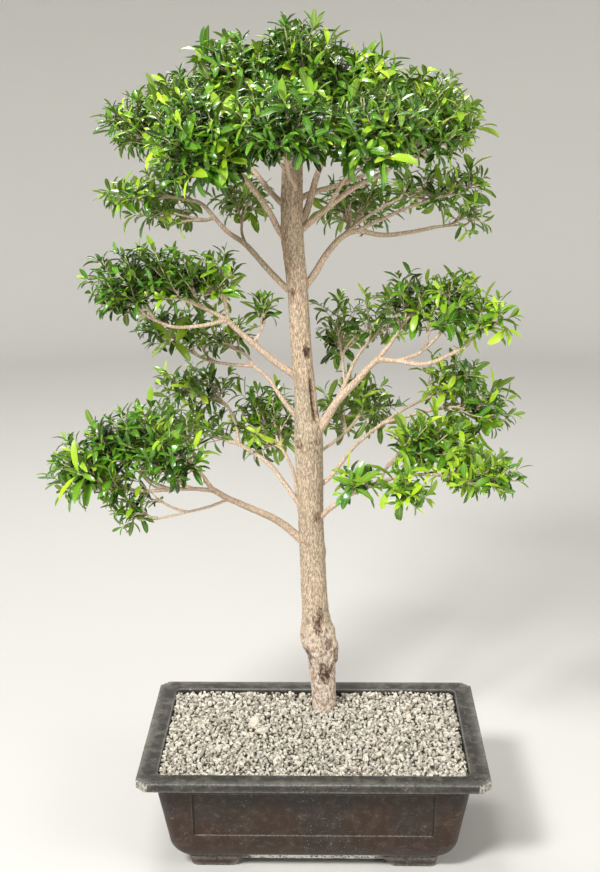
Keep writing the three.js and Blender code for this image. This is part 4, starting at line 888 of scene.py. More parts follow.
def pot_rows():
    """Rings of the pot's skin, from the hollow under the floor round the foot band, up the outside,
    over the rim and down the inside to the floor. Sizes between two named rings are blended."""
    rows = []
    band = np.array(BAND["size"])

    def lay(ring, z):
        rows.append(np.column_stack([ring, np.broadcast_to(z, len(ring))]))

    def lay_band(inset, low, share=0):
        size = blend(band - BAND["taper"], band, share) - 2 * inset
        ring = plain_ring(size, max(BAND["corner"] - inset / 2, 3))
        lay(ring, (arch_height(ring) + low) * (1 - share) + BAND["z"] * share)

    inner = plain_ring(band - 2 * BAND["inner"], 4)
    lay(inner, FLOOR["underside"])
    lay(inner, arch_height(inner) + BAND["edge"])
    lay_band(BAND["inner"] - BAND["taper"] / 2 - BAND["edge"], 0)
    lay_band(BAND["edge"], 0)
    for share in (0, 0.4, 0.8):
        lay_band(0, BAND["edge"], share)
    lay(plain_ring(band, BAND["corner"]), BAND["z"])
    lay(plain_ring(band - 1.6, BAND["corner"]), BAND["z"] + 0.7)
    for turn in np.radians(np.linspace(0, 90, 11)):
        share, drop = bottom_curve(turn)
        corner = BAND["corner"] + (BODY_LOW["corner"] - BAND["corner"]) * share
        ring = plain_ring(blend(SHOULDER["size"], BODY_LOW["size"], share), corner)
        lay(ring, BODY_LOW["z"] - (BODY_LOW["z"] - SHOULDER["z"]) * drop)

    low, high = (PANEL["z"] + side * PANEL["height"] / 2 for side in (-1, 1))
    heights = np.concatenate([
        np.linspace(BODY_LOW["z"], low - 1.5, 5)[1:], np.linspace(low - 1.2, low + 1.2, 7),
        np.linspace(low + 1.5, high - 1.5, 9), np.linspace(high - 1.2, high + 1.2, 7),
        [high + 3, RIM["low"] - 1.2]])
    for z in heights:
        lay(sink_panels(plain_ring(wall_size(z), BODY_LOW["corner"]), z), z)
    lay(plain_ring(np.array(BODY_TOP["size"]) + 2.4, BODY_TOP["corner"]), RIM["low"])

    edge = RIM["edge"]
    rim = [(edge, RIM["low"]), (0.3 * edge, RIM["low"] + 0.3 * edge)]
    rim += [(0, z) for z in np.linspace(RIM["low"] + edge, POT_HEIGHT - edge, 4)]
    rim += [(0.3 * edge, POT_HEIGHT - 0.3 * edge), (edge, POT_HEIGHT)]
    for inset, z in rim:
        lay(ring_of(lambda quarter: reeded_corner(inset, quarter)), z)
    for wider, drop in ((24, 0), (6, 0), (2.6, 0), (0.8, 0.4), (0, 1.3), (-1, 3)):
        lay(plain_ring(np.array(OPENING["size"]) + wider, OPENING["corner"]), POT_HEIGHT - drop)
    for z in (RIM["low"], 110, 75, BODY_LOW["z"]):
        lay(plain_ring(wall_size(z) - 2 * WALL, BODY_LOW["corner"] - 2), z)
    for turn in np.radians([60, 35, 0]):
        share, drop = bottom_curve(turn)
        ring = plain_ring(blend(SHOULDER["size"], BODY_LOW["size"], share) - 2 * WALL, BAND["corner"])
        lay(ring, BODY_LOW["z"] - (BODY_LOW["z"] - FLOOR["top"]) * drop)
    return np.stack(rows)


def floor_half(ring, side, angles=None):
    """The border of half of the floor, along one side of a ring and down the line in its middle,
    and the drain hole's edge. Each point of the border has one on the hole, at its own angle
    about the hole's centre or at a given one."""
    x = ring[:, 0] * side
    chosen = np.flatnonzero(x > -1e-6)
    gap = np.flatnonzero(np.diff(chosen) > 1)
    if len(gap):
        chosen = np.concatenate([chosen[gap[0] + 1:], chosen[:gap[0] + 1]])
    border = ring[chosen]
    share = np.linspace(0, 1, 14)[1:-1, None]
    border = np.concatenate([border, border[-1] + share * (border[0] - border[-1])])
    centre = np.array([side * DRAIN["x"], 0, ring[0, 2]])
    if angles is None:
        angles = np.arctan2(border[:, 1] - centre[1], border[:, 0] - centre[0])
    hole = centre + DRAIN["radius"] * np.stack([np.cos(angles), np.sin(angles), 0 * angles], -1)
    return border, hole, angles


def add_pot(skin):
    """The pot's skin: the rings one after another, the floor's two halves seen from below and from
    above, and the walls of the two drain holes. Points that meet are then made one."""
    rows = pot_rows()
    count = rows.shape[1]
    points = [rows.reshape(-1, 3)]
    faces = [grid_quads(len(rows), count)]
    total = len(points[0])
    for side in (1, -1):
        under, hole_under, angles = floor_half(rows[0], side)
        over, hole_over, _ = floor_half(rows[-1], side, angles)
        shares = np.linspace(0, 1, 4)[:, None, None]
        beneath = under + shares * (hole_under - under)
        above = hole_over + shares * (over - hole_over)
        patch = np.concatenate([beneath, above])
        faces.append(grid_quads(len(patch), patch.shape[1])[:, ::-1] + total)
        points.append(patch.reshape(-1, 3))
        total += len(points[-1])
    points = np.concatenate(points)
    faces = np.concatenate(faces)
    _, first, where = np.unique(np.round(points, 4), axis=0, return_index=True, return_inverse=True)
    skin.add(points[first], [where.reshape(-1)[faces]], [0], {})


def stone_template():
    """The twelve corners and twenty faces of an icosahedron."""
    g = (1 + math.sqrt(5)) / 2
    corners = np.array([
        (-1, g, 0), (1, g, 0), (-1, -g, 0), (1, -g, 0), (0, -1, g), (0, 1, g),
        (0, -1, -g), (0, 1, -g), (g, 0, -1), (g, 0, 1), (-g, 0, -1), (-g, 0, 1)])
    faces = np.array([
        (0, 11, 5), (0, 5, 1), (0, 1, 7), (0, 7, 10), (0, 10, 11), (1, 5, 9), (5, 11, 4), (11, 10, 2),
        (10, 7, 6), (7, 1, 8), (3, 9, 4), (3, 4, 2), (3, 2, 6), (3, 6, 8), (3, 8, 9), (4, 9, 5),
        (2, 4, 11), (6, 2, 10), (8, 6, 7), (9, 8, 1)])
    return unit(corners), faces


def add_stones(skin, places, radii, rng, most_tint=1.0, least_warm=0.0):
    """Angular stones: an icosahedron for each place, with every corner pushed in or out by a
    random share, stretched by three random factors and turned by a random rotation. Powers of
    random shares make few of them dark, up to the most tint, and few warmer than the least."""
    corners, faces = stone_template()
    count = len(places)
    shape = corners * rng.uniform(0.6, 1.2, (count, 12, 1))
    stretch = radii[:, None] * rng.uniform((0.95, 0.7, 0.5), (1.5, 1.05, 0.92), (count, 3))
    shape = shape * stretch[:, None]
    turn = unit(rng.normal(size=(count, 4)))
    w, x, y, z = turn.T
    rotation = np.stack([
        1 - 2 * (y * y + z * z), 2 * (x * y - z * w), 2 * (x * z + y * w),
        2 * (x * y + z * w), 1 - 2 * (x * x + z * z), 2 * (y * z - x * w),
        2 * (x * z - y * w), 2 * (y * z + x * w), 1 - 2 * (x * x + y * y)], -1).reshape(-1, 3, 3)
    points = np.einsum("nij,nkj->nki", rotation, shape) + places[:, None]
    tint = np.repeat(most_tint * rng.uniform(size=count) ** 1.5, 12)
    warm = np.repeat(least_warm + 0.8 * rng.uniform(size=count) ** 12 * (1 - least_warm), 12)
    skin.add(points, [repeat_faces(faces, count, 12)], [0], {"tint": tint, "warm": warm})


def heap(x, y):
    """How much higher the gravel lies away from the trunk."""
    away = np.hypot(x - FOOT[0], y - FOOT[1])
    return HEAP["rise"] * np.clip((away - HEAP["from"]) / HEAP["reach"], 0, 1)


def gravel_places(spacing, level, rng):
    """A grid of staggered rows over the opening, each place shaken by up to two fifths of the
    spacing, clear of the trunk and of the large stones."""
    half = np.array(OPENING["size"]) / 2 - 3
    columns = np.arange(-half[0], half[0], spacing)
    rows = np.arange(-half[1], half[1], spacing * 0.87)
    x, y = np.meshgrid(columns, rows)
    x = x + np.where(np.arange(len(rows)) % 2, spacing / 2, 0)[:, None]
    places = np.stack([x, y], -1).reshape(-1, 2)
    places = places + rng.uniform(-0.4, 0.4, places.shape) * spacing
    places = np.clip(places, -half, half)
    clear = np.linalg.norm(places - FOOT[:2], axis=1) > 18.5
    for stone_x, stone_y, radius in LARGE_STONES:
        clear &= np.linalg.norm(places - [stone_x, stone_y], axis=1) > 0.8 * radius
    places = places[clear]
    swell = 0.8 * lattice_noise(places[:, 0] / 34, places[:, 1] / 34, 21)
    height = level + heap(*places.T) + swell + rng.uniform(-0.9, 0.9, len(places))
    return np.column_stack([places, height])


def add_gravel_bed(skin):
    """The packed gravel under the loose grains, darkened as painted shade for the gaps between them:
    rings that shrink to the middle, with a noise that lifts and lowers the top by a millimetre."""
    outline = plain_ring(np.array(OPENING["size"]) - 5, 7)
    low = plain_ring(np.array(BODY_TOP["size"]) - 18, 9)
    shares = np.linspace(1, 0.04, 16)[:, None, None]
    top = outline[None] * shares[::-1]
    bumps = lattice_noise(top[..., 0] / 3 + 300, top[..., 1] / 3 + 300, 31)
    level = BED_TOP + heap(top[..., 0], top[..., 1]) + bumps
    top = np.concatenate([top[::-1], level[::-1, :, None]], -1)
    under = low[None] * shares[::-3]
    bottom = np.concatenate([under, np.full((*under.shape[:2], 1), BED_LOW)], -1)
    rows = np.concatenate([bottom, top])
    ends = np.array([(0, 0, BED_LOW), (0, 0, BED_TOP + HEAP["rise"])])
    faces = [kind(*rows.shape[:2]) for kind in (grid_quads, end_fans)]
    skin.add(np.concatenate([rows.reshape(-1, 3), ends]), faces, [0, 0], {"tint": 0.1, "warm": 0.0})


# Materials


def tone(name):
    return linear(TONES[name])


def give(tree, sockets, values):
    """Links outputs of other nodes to inputs, or sets the inputs. A plain colour has three numbers."""
    for key, value in values.items():
        socket = sockets[key]
        if isinstance(value, bpy.types.NodeSocket):
            tree.links.new(value, socket)
        else:
            socket.default_value = (*value, 1) if socket.type == "RGBA" else value


def node(tree, kind, inputs=None, **settings):
    made = tree.nodes.new("ShaderNode" + kind)
    for key, value in settings.items():
        setattr(made, key, value)
    give(tree, made.inputs, inputs or {})
    return made


def calculate(tree, operation, first, second=0.0, clamp=False):
    return node(tree, "Math", {0: first, 1: second}, operation=operation, use_clamp=clamp).outputs[0]


def add(tree, first, second, clamp=False):
    return calculate(tree, "ADD", first, second, clamp)


def subtract(tree, first, second):
    return calculate(tree, "SUBTRACT", first, second)


def multiply(tree, *values):
    result = values[0]
    for value in values[1:]:
        result = calculate(tree, "MULTIPLY", result, value)
    return result


def distance_from(tree, value, place):
    return calculate(tree, "ABSOLUTE", subtract(tree, value, place))


def span(tree, value, low, high, to_low=0.0, to_high=1.0):
    """The part of a value between two limits, spread smoothly over a new range."""
    inputs = {"Value": value, "From Min": low, "From Max": high, "To Min": to_low, "To Max": to_high}
    return node(tree, "MapRange", inputs, interpolation_type="SMOOTHSTEP").outputs[0]


def line_at(tree, value, place, width):
    """One where a value is at a place, fading to zero at a width from it."""
    return span(tree, distance_from(tree, value, place), 0.3 * width, width, 1, 0)


def blend_colours(tree, share, first, second):
    """Two colours mixed by a share from 0 to 1."""
    return node(tree, "Mix", {0: share, 6: first, 7: second}, data_type="RGBA").outputs[2]


def attribute(tree, name):
    return node(tree, "Attribute", attribute_name=name).outputs["Fac"]


def object_place(tree):
    return node(tree, "TexCoord").outputs["Object"]


def split(tree, vector):
    return node(tree, "SeparateXYZ", {0: vector}).outputs


def noise(tree, place, scale, detail=3.0, roughness=0.55, stretch=None):
    """A noise over Object coordinates. Scale is in waves for each metre."""
    if stretch:
        place = node(tree, "Mapping", {"Vector": place, "Scale": stretch}).outputs[0]
    inputs = {"Vector": place, "Scale": scale, "Detail": detail, "Roughness": roughness}
    return node(tree, "TexNoise", inputs).outputs["Fac"]


def new_group(name, inputs, outputs):
    """An empty shader node group, its given values and its results. An input is a number or a
    colour like its default, and the only coloured result is Color."""
    group = bpy.data.node_groups.new(name, "ShaderNodeTree")
    for key, default in inputs.items():
        kind = "NodeSocketFloat" if isinstance(default, float) else "NodeSocketColor"
        group.interface.new_socket(key, in_out="INPUT", socket_type=kind).default_value = default
    for key in outputs:
        kind = "NodeSocketColor" if key == "Color" else "NodeSocketFloat"
        group.interface.new_socket(key, in_out="OUTPUT", socket_type=kind)
    return group, group.nodes.new("NodeGroupInput").outputs, group.nodes.new("NodeGroupOutput").inputs


def use_group(tree, name, inputs):
    return node(tree, "Group", node_tree=bpy.data.node_groups[name], inputs=inputs).outputs


def bark_grain_group():
    """Bark: streaks that run up the wood, flakes between them and mossy patches, as a colour, a
    roughness and a height. Cracks are dark, chalk lies on the bark in clumps, and a scar is a
    ragged brown patch with a charred middle."""
    inputs = {"Ridge": GREY, "Fissure": GREY, "Crack": 0.0, "Scar": 0.0, "Grain": 1.0, "Chalk": 0.0}
    tree, given, result = new_group("Bark Grain", inputs, ("Color", "Roughness", "Height"))
    place = object_place(tree)
    streaks = noise(tree, place, 640, 4, 0.7, (1, 1, 0.28))
    flakes = noise(tree, place, 1200, 3, 0.6, (1, 1, 0.6))
    patches = noise(tree, place, 30, 4, 0.6, (1, 1, 0.5))
    clumps = noise(tree, place, 230, 5, 0.75, (1, 1, 0.6))
    ridge = blend_colours(tree, span(tree, patches, 0.4, 0.65, 0, 0.45), given["Ridge"], tone("moss"))
    pale = blend_colours(tree, multiply(tree, span(tree, flakes, 0.45, 0.58), 0.7), ridge, tone("flake"))
    dark = multiply(tree, subtract(tree, 1.0, span(tree, streaks, 0.42, 0.58)), 0.66)
    dark = calculate(tree, "MAXIMUM", dark, multiply(tree, given["Crack"], 0.85))
    colour = blend_colours(tree, multiply(tree, dark, given["Grain"]), pale, given["Fissure"])
    chalk = multiply(
        tree, given["Chalk"], span(tree, clumps, 0.46, 0.54, 0, 0.95), span(tree, streaks, 0.34, 0.46))
    colour = blend_colours(tree, chalk, colour, tone("chalk"))
    ragged = add(tree, multiply(tree, clumps, 2.6), multiply(tree, streaks, 0.9))
    worn = add(tree, given["Scar"], subtract(tree, 1.75, ragged))
    near_scar = span(tree, given["Scar"], 0.02, 0.35)
    for low, high, most, name in ((0.15, 0.6, 0.7, "scar_edge"), (0.66, 0.95, 0.9, "scar_middle")):
        share = multiply(tree, span(tree, worn, low, high, 0, most), near_scar)
        colour = blend_colours(tree, share, colour, tone(name))
    roughness = span(tree, flakes, 0.3, 0.7, 0.95, 0.72)
    height = add(tree, multiply(tree, streaks, 0.6), multiply(tree, flakes, 0.4))
    give(tree, result, {"Color": colour, "Roughness": roughness, "Height": height})


def leaf_vein_group():
    """Leaf veins on the flat map: a pale rib down the middle, and side veins that leave it at a
    slant. It also puts out a small height for them."""
    inputs = {"Blade": GREY, "Rib": GREY, "Strength": 0.5}
    tree, given, result = new_group("Leaf Veins", inputs, ("Color", "Height"))
    across, along, _ = split(tree, node(tree, "UVMap", uv_map="UVMap").outputs[0])
    aside = distance_from(tree, across, 0.5)
    rib = span(tree, aside, 0.02, 0.10, 1, 0)
    slant = subtract(tree, multiply(tree, along, 14.0), multiply(tree, aside, 7.0))
    wave = calculate(tree, "ABSOLUTE", calculate(tree, "SINE", multiply(tree, slant, math.pi)))
    both = calculate(tree, "MAXIMUM", rib, span(tree, wave, 0.0, 0.32, 0.35, 0))
    share = calculate(tree, "MULTIPLY", both, given["Strength"], clamp=True)
    colour = blend_colours(tree, share, given["Blade"], given["Rib"])
    give(tree, result, {"Color": colour, "Height": subtract(tree, 1.0, both)})


def mineral_group():
    """Mineral grains: a blotchy stone colour with dark pores and a rough height."""
    inputs = {"Pale": GREY, "Dark": GREY, "Tint": 0.5}
    tree, given, result = new_group("Mineral Grain", inputs, ("Color", "Height"))
    place = object_place(tree)
    blotch = noise(tree, place, 420, 3)
    pores = noise(tree, place, 1900, 2, 0.7)
    spots = span(tree, blotch, 0.35, 0.7, -0.15, 0.3)
    share = add(tree, multiply(tree, given["Tint"], 0.7), spots, clamp=True)
    colour = blend_colours(tree, share, given["Pale"], given["Dark"])
    colour = blend_colours(tree, span(tree, pores, 0.58, 0.72, 0, 0.5), colour, tone("pore"))
    give(tree, result, {"Color": colour, "Height": add(tree, multiply(tree, pores, 0.6), blotch)})


def new_material(name, roughness=0.5, **fixed):
    """A material with one Principled BSDF, whose plain numbers are set on its own sockets."""
    material = bpy.data.materials.new(name)
    material.use_nodes = True
    tree = material.node_tree
    shader = tree.nodes["Principled BSDF"]
    shader.inputs["Roughness"].default_value = roughness
    for key, value in fixed.items():
        shader.inputs[key.replace("_", " ")].default_value = value
    return material, tree, shader


def finish_surface(tree, shader, colour, height, distance, strength=1.0, roughness=None):
    """Gives the shader its colour, the slopes of a height and, where it varies, its roughness."""
    bump = node(tree, "Bump", {"Height": height, "Distance": distance, "Strength": strength})
    give(tree, shader.inputs, {"Base Color": colour, "Normal": bump.outputs[0]})
    if roughness is not None:
        give(tree, shader.inputs, {"Roughness": roughness})


def trunk_bark(wood):
    """Tan fissured bark, pinker at the foot and high up, chalky low down, with brown scars."""
    material, tree, shader = new_material("Trunk Bark", 0.85)
    tan = blend_colours(tree, attribute(tree, "pink"), wood.bark_colour, tone("pink_bark"))
    full, gone = (MM * (GRIT_TOP + height) for height in CHALK_HEIGHTS)
    chalk = span(tree, split(tree, object_place(tree))[2], full, gone, 1, 0.12)
    grain = use_group(tree, "Bark Grain", {
        "Ridge": tan, "Fissure": wood.fissure_colour, "Crack": attribute(tree, "crack"),
        "Scar": attribute(tree, "scar"), "Chalk": chalk})
    finish_surface(tree, shader, grain["Color"], grain["Height"], 0.003, roughness=grain["Roughness"])
    return material


def limb_bark(wood):
    """Smoother pinkish grey bark with faint streaks, darker in the collars."""
    material, tree, shader = new_material("Limb Bark", 0.75)
    grain = use_group(tree, "Bark Grain", {
        "Ridge": wood.limb_colour, "Fissure": tone("limb_fissure"), "Crack": attribute(tree, "crack"),
        "Grain": 0.8})
    finish_surface(tree, shader, grain["Color"], grain["Height"], 0.001, 0.8, grain["Roughness"])
    return material


def twig_bark(wood):
    """Brown twigs that turn green towards their tips."""
    material, tree, shader = new_material("Twig Bark", 0.6)
    youth = attribute(tree, "youth")
    brown = blend_colours(tree, attribute(tree, "shade"), wood.limb_colour, tone("twig"))
    green = blend_colours(tree, span(tree, youth, 0.35, 0.85), brown, wood.shoot_colour)
    grain = use_group(tree, "Bark Grain", {
        "Ridge": green, "Fissure": tone("twig_fissure"), "Grain": span(tree, youth, 0.2, 0.7, 0.7, 0.1)})
    finish_surface(tree, shader, grain["Color"], grain["Height"], 0.0004, 0.6)
    return material


def leaf_colour(tree, leaf):
    """From dark old leaves over grown ones to bright new ones, by the leaf's own youth."""
    youth = attribute(tree, "youth")
    shade = attribute(tree, "shade")
    colour = blend_colours(tree, span(tree, youth, 0.05, 0.42), leaf.old_colour, leaf.mid_colour)
    colour = blend_colours(tree, span(tree, youth, 0.42, 0.88), colour, leaf.new_colour)
    value, hue = span(tree, shade, 0, 1, 0.62, 1.25), span(tree, shade, 0, 1, 0.508, 0.49)
    return node(tree, "HueSaturation", {"Color": colour, "Value": value, "Hue": hue}).outputs[0]


def leaf_top(leaf):
    """The waxy upper side, glossier on old leaves."""
    material, tree, shader = new_material("Leaf Upper Side", Coat_Weight=0.35, Coat_Roughness=0.15)
    veins = use_group(tree, "Leaf Veins", {
        "Blade": leaf_colour(tree, leaf), "Rib": tone("rib"), "Strength": 0.3})
    cloud = span(tree, noise(tree, object_place(tree), 160, 2), 0.3, 0.7, -0.05, 0.08)
    wax = add(tree, span(tree, attribute(tree, "youth"), 0, 1, 0.2, 0.36), cloud)
    finish_surface(tree, shader, veins["Color"], veins["Height"], 0.0003, 0.5, wax)
    return material


def leaf_under(leaf):
    """The matt underside, paler than the top."""
    material, tree, shader = new_material("Leaf Underside", 0.6)
    colour = blend_colours(tree, 0.6, leaf_colour(tree, leaf), leaf.under_colour)
    veins = use_group(tree, "Leaf Veins", {"Blade": colour, "Rib": tone("under_rib"), "Strength": 0.75})
    finish_surface(tree, shader, veins["Color"], veins["Height"], 0.0003, 0.6)
    return material


def gravel_stone(gravel, name, darker):
    """Dry pumice with a few warm grains; for the bed, darkened by a share into painted gap shade."""
    material, tree, shader = new_material(name, 0.92)
    warm = blend_colours(tree, attribute(tree, "warm"), gravel.pale_colour, tone("warm_stone"))
    stone = use_group(tree, "Mineral Grain", {
        "Pale": blend_colours(tree, darker, warm, tone("painted_gap_shade")), "Dark": gravel.dark_colour,
        "Tint": attribute(tree, "tint")})
    finish_surface(tree, shader, stone["Color"], stone["Height"], 0.0012, 0.8)
    return material


def soil_mix():
    """Dark moist potting mix."""
    material, tree, shader = new_material("Potting Mix", 0.95)
    stone = use_group(tree, "Mineral Grain", {"Pale": tone("soil"), "Dark": tone("wet_soil")})
    finish_surface(tree, shader, stone["Color"], stone["Height"], 0.002)
    return material


def screen_plastic():
    """Black mesh plastic with a little soil dust."""
    material, tree, shader = new_material("Drain Screen Plastic", 0.6)
    dust = span(tree, noise(tree, object_place(tree), 300, 3), 0.5, 0.75, 0, 0.5)
    give(tree, shader.inputs, {"Base Color": blend_colours(tree, dust, tone("screen"), tone("soil_dust"))})
    return material


def pot_plastic(pot):
    """Dark brown moulded plastic, greyer above. A thin haze lies on the rim and in patches,
    edges are rubbed pale, fine scratches and specks are strewn over it, and a white crust lies
    on the foot band between the feet. Painted light and shade: dark lines of painted shadow run
    down the sides of each sunk panel, a pale painted highlight lies along its lower edge, and pale
    painted glints lie on the reeded rim corners."""
    material, tree, shader = new_material("Pot Plastic", Specular_IOR_Level=0.35)
    place = object_place(tree)
    x, y, z = split(tree, place)
    geometry = node(tree, "NewGeometry").outputs
    facing = split(tree, geometry["Normal"])[2]
    broad = noise(tree, place, 14, 4, 0.6)
    cloudy = noise(tree, place, 70, 5, 0.65)
    fine = noise(tree, place, 260, 4, 0.7)
    specks = noise(tree, place, 620, 1, 0.5)
    on_rim = span(tree, z, MM * (RIM["low"] - 1), MM * (RIM["low"] + 2), 0, 0.6)
    grey = add(tree, span(tree, z, 0.03, 0.15, 0, 0.6), span(tree, broad, 0.35, 0.65, -0.3, 0.4))
    haze = multiply(
        tree, span(tree, facing, 0.6, 0.95, 0.07, 0.18), span(tree, cloudy, 0.44, 0.62, 0.15, 1.4))
    haze = add(tree, haze, multiply(tree, on_rim, span(tree, cloudy, 0.35, 0.6, 0.03, 0.16)))
    rubbed = multiply(
        tree, span(tree, geometry["Pointiness"], 0.505, 0.56, 0, 0.85), span(tree, fine, 0.35, 0.6, 0.25, 1))
    flecks = multiply(tree, span(tree, specks, 0.70, 0.76), span(tree, broad, 0.42, 0.62, 0.1, 0.8))
    scratches = line_at(tree, noise(tree, place, 42, 2, 0.5, (1, 1, 2.2)), 0.5, 0.006)
    scratches = multiply(tree, scratches, span(tree, cloudy, 0.5, 0.62, 0, 0.4))

    aside = distance_from(tree, x, float(POT_MIDDLE[0]))
    beside = distance_from(tree, y, float(POT_MIDDLE[1]))
    half_x, half_y = (MM * half for half in PANEL["half"])
    panel_low, panel_high = (MM * (PANEL["z"] + side * PANEL["height"] / 2) for side in (-1, 1))
    in_panel = multiply(
        tree, calculate(tree, "GREATER_THAN", z, panel_low), calculate(tree, "LESS_THAN", z, panel_high))
    # Painted shadow: dark lines down the upright sides of each sunk panel, where its edge shades it.
    upright = calculate(
        tree, "MAXIMUM", line_at(tree, aside, half_x, 0.0018), line_at(tree, beside, half_y, 0.0018))
    # Painted highlight: a pale line along each panel's lower edge, broken up by a fine noise.
    dust = multiply(
        tree, line_at(tree, z, panel_low, 0.0014), calculate(tree, "LESS_THAN", aside, half_x),
        span(tree, fine, 0.42, 0.64, 0, 0.3))
    # Painted glints: pale streaks on the side faces of the reeded rim corners, broken up by a fine noise.
    corner_x, corner_y = (MM * (size / 2 - RIM["chamfer"] - 2.5) for size in RIM["size"])
    painted_corner_glint = multiply(
        tree, calculate(tree, "GREATER_THAN", aside, corner_x),
        calculate(tree, "GREATER_THAN", beside, corner_y),
        span(tree, facing, 0.3, 0.8, 1, 0.15), span(tree, fine, 0.38, 0.58, 0.15, 0.8))
    on_front = calculate(tree, "LESS_THAN", y, float(POT_MIDDLE[1]) - MM * CRUST["front"])
    crust = multiply(
        tree, span(tree, aside, MM * CRUST["thin"], MM * CRUST["end"], 1, 0.12), on_front,
        line_at(tree, z, MM * CRUST["z"], MM * CRUST["spread"]),
        span(tree, noise(tree, place, 190, 5, 0.8), 0.42, 0.5))

    colour = pot.body_colour
    # Among these layers, the dark panel lines are painted shadow, the pale panel line a painted highlight and
    # the corner streaks painted glints.
    for share, layer in (
            (add(tree, grey, on_rim, clamp=True), tone("grey_plastic")), (haze, pot.dust_colour),
            (rubbed, tone("rubbed_edge")), (flecks, tone("fleck")), (scratches, tone("scratch")),
            (multiply(tree, upright, in_panel, 0.75), tone("groove")), (dust, tone("panel_edge_highlight")),
            (painted_corner_glint, tone("corner_glint")), (multiply(tree, crust, 0.95), pot.deposit_colour)):
        colour = blend_colours(tree, share, colour, layer)
    dull = add(tree, span(tree, cloudy, 0.35, 0.65, 0.38, 0.6), multiply(tree, crust, 0.4))
    finish_surface(tree, shader, colour, add(tree, fine, multiply(tree, crust, 2.0)), 0.0004, 0.5, dull)
    return material


def floor_paint(stage):
    """Plain pale floor."""
    material, tree, shader = new_material("Studio Floor", 0.75)
    give(tree, shader.inputs, {"Base Color": stage.floor_colour})
    return material


# Operators


class BONSAI_OT_stage(bpy.types.Operator):
    """Adds the floor, the lights and the camera"""
    bl_idname = "bonsai.stage"
    bl_label = "Stage"

    def execute(self, context):
        stage = context.scene.bonsai_stage
        self.add_floor(stage)
        self.add_lights(context, stage)
        self.add_camera(context)
        return {"FINISHED"}

    def add_floor(self, stage):
        """A round floor that turns up at its far edge: height is the square of the way past it."""
        rings, sides = STUDIO["rings"], STUDIO["sides"]
        radius = np.linspace(STUDIO["hole"], STUDIO["radius"], rings)[:, None]
        angle = 2 * math.pi * np.arange(sides)[None] / sides
        height = np.clip(radius - STUDIO["flat"], 0, None) ** 2 * STUDIO["steepness"] + 0 * angle
        rows = np.stack([radius * np.cos(angle), radius * np.sin(angle), height], -1)
        skin = Skin()
        skin.add(rows[::-1] / MM, [grid_quads(rings, sides)], [0], {})
        origin = np.array([0, 0, CAD_BOX[0][2] - STUDIO["below"]])
        floor = skin.to_object("studio_floor", origin, [floor_paint(stage)])

    def add_lights(self, context, stage):
        world = bpy.data.worlds.new("Studio")
        world.use_nodes = True
        glow = world.node_tree.nodes["Background"].inputs
        glow["Color"].default_value = (1.0, 0.99, 0.96, 1)
        glow["Strength"].default_value = 0.3
        context.scene.world = world
        context.scene.view_settings.view_transform = "Standard"
        lights = (
            ("key_light", (-1.5, -2.4, 3.0), 0.75, stage.key_power),
            ("fill_light", (2.2, -1.5, 1.9), 1.6, stage.fill_power),
            ("back_light", (-0.5, 1.5, 3.1), 0.9, 1.5 * stage.fill_power))
        for name, place, size, power in lights:
            data = bpy.data.lights.new(name, "AREA")
            data.size = size
            data.energy = power
            light = bpy.data.objects.new(name, data)
            towards = unit(np.array([0, 0, 0.6]) - place)
            side = unit(np.cross(towards, [0, 0, 1.0]))
            up = np.cross(side, towards)
            turned = np.stack([side, up, -towards], -1)
            light.matrix_world = Matrix.Translation(place) @ Matrix(turned).to_4x4()
            context.scene.collection.objects.link(light)

    def add_camera(self, context):
        """The camera stands where the photograph was taken from."""
        pitch, yaw, roll = (math.radians(CAMERA[key]) for key in ("pitch", "yaw", "roll"))
        ahead = np.array([math.sin(yaw) * math.cos(pitch), math.cos(yaw) * math.cos(pitch), -math.sin(pitch)])
        right = unit(np.cross(ahead, [0, 0, 1.0]))
        up = np.cross(right, ahead)
        rolled = math.cos(roll) * right + math.sin(roll) * up
        turned = np.stack([rolled, np.cross(rolled, ahead), -ahead], -1)
        data = bpy.data.cameras.new("camera")
        data.lens = CAMERA["lens"]
        camera = bpy.data.objects.new("camera", data)
        place = POT_MIDDLE + np.array(CAMERA["place"]) * MM
        camera.matrix_world = Matrix.Translation(place) @ Matrix(turned).to_4x4()
        context.scene.collection.objects.link(camera)
        context.scene.camera = camera


class BONSAI_OT_pot(bpy.types.Operator):
    """Builds the moulded pot"""
    bl_idname = "bonsai.pot"
    bl_label = "Pot"

    def execute(self, context):
        skin = Skin()
        add_pot(skin)
        pot = skin.to_object("training_pot", POT_MIDDLE, [pot_plastic(context.scene.bonsai_pot)])
        shading = pot.modifiers.new("Even Shading", "WEIGHTED_NORMAL")
        shading.keep_sharp = True
        settle(pot, "pot", "pot")
        return {"FINISHED"}


class BONSAI_OT_filling(bpy.types.Operator):
    """Gives the soil and the drain screens their materials"""
    bl_idname = "bonsai.filling"
    bl_label = "Soil and Screens"

    def execute(self, context):
        mineral_group()
        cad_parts["potting_soil"].material_slots[0].material = soil_mix()
        plastic = screen_plastic()
        for side in ("left", "right"):
            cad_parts["drain_screen_" + side].material_slots[0].material = plastic
        return {"FINISHED"}


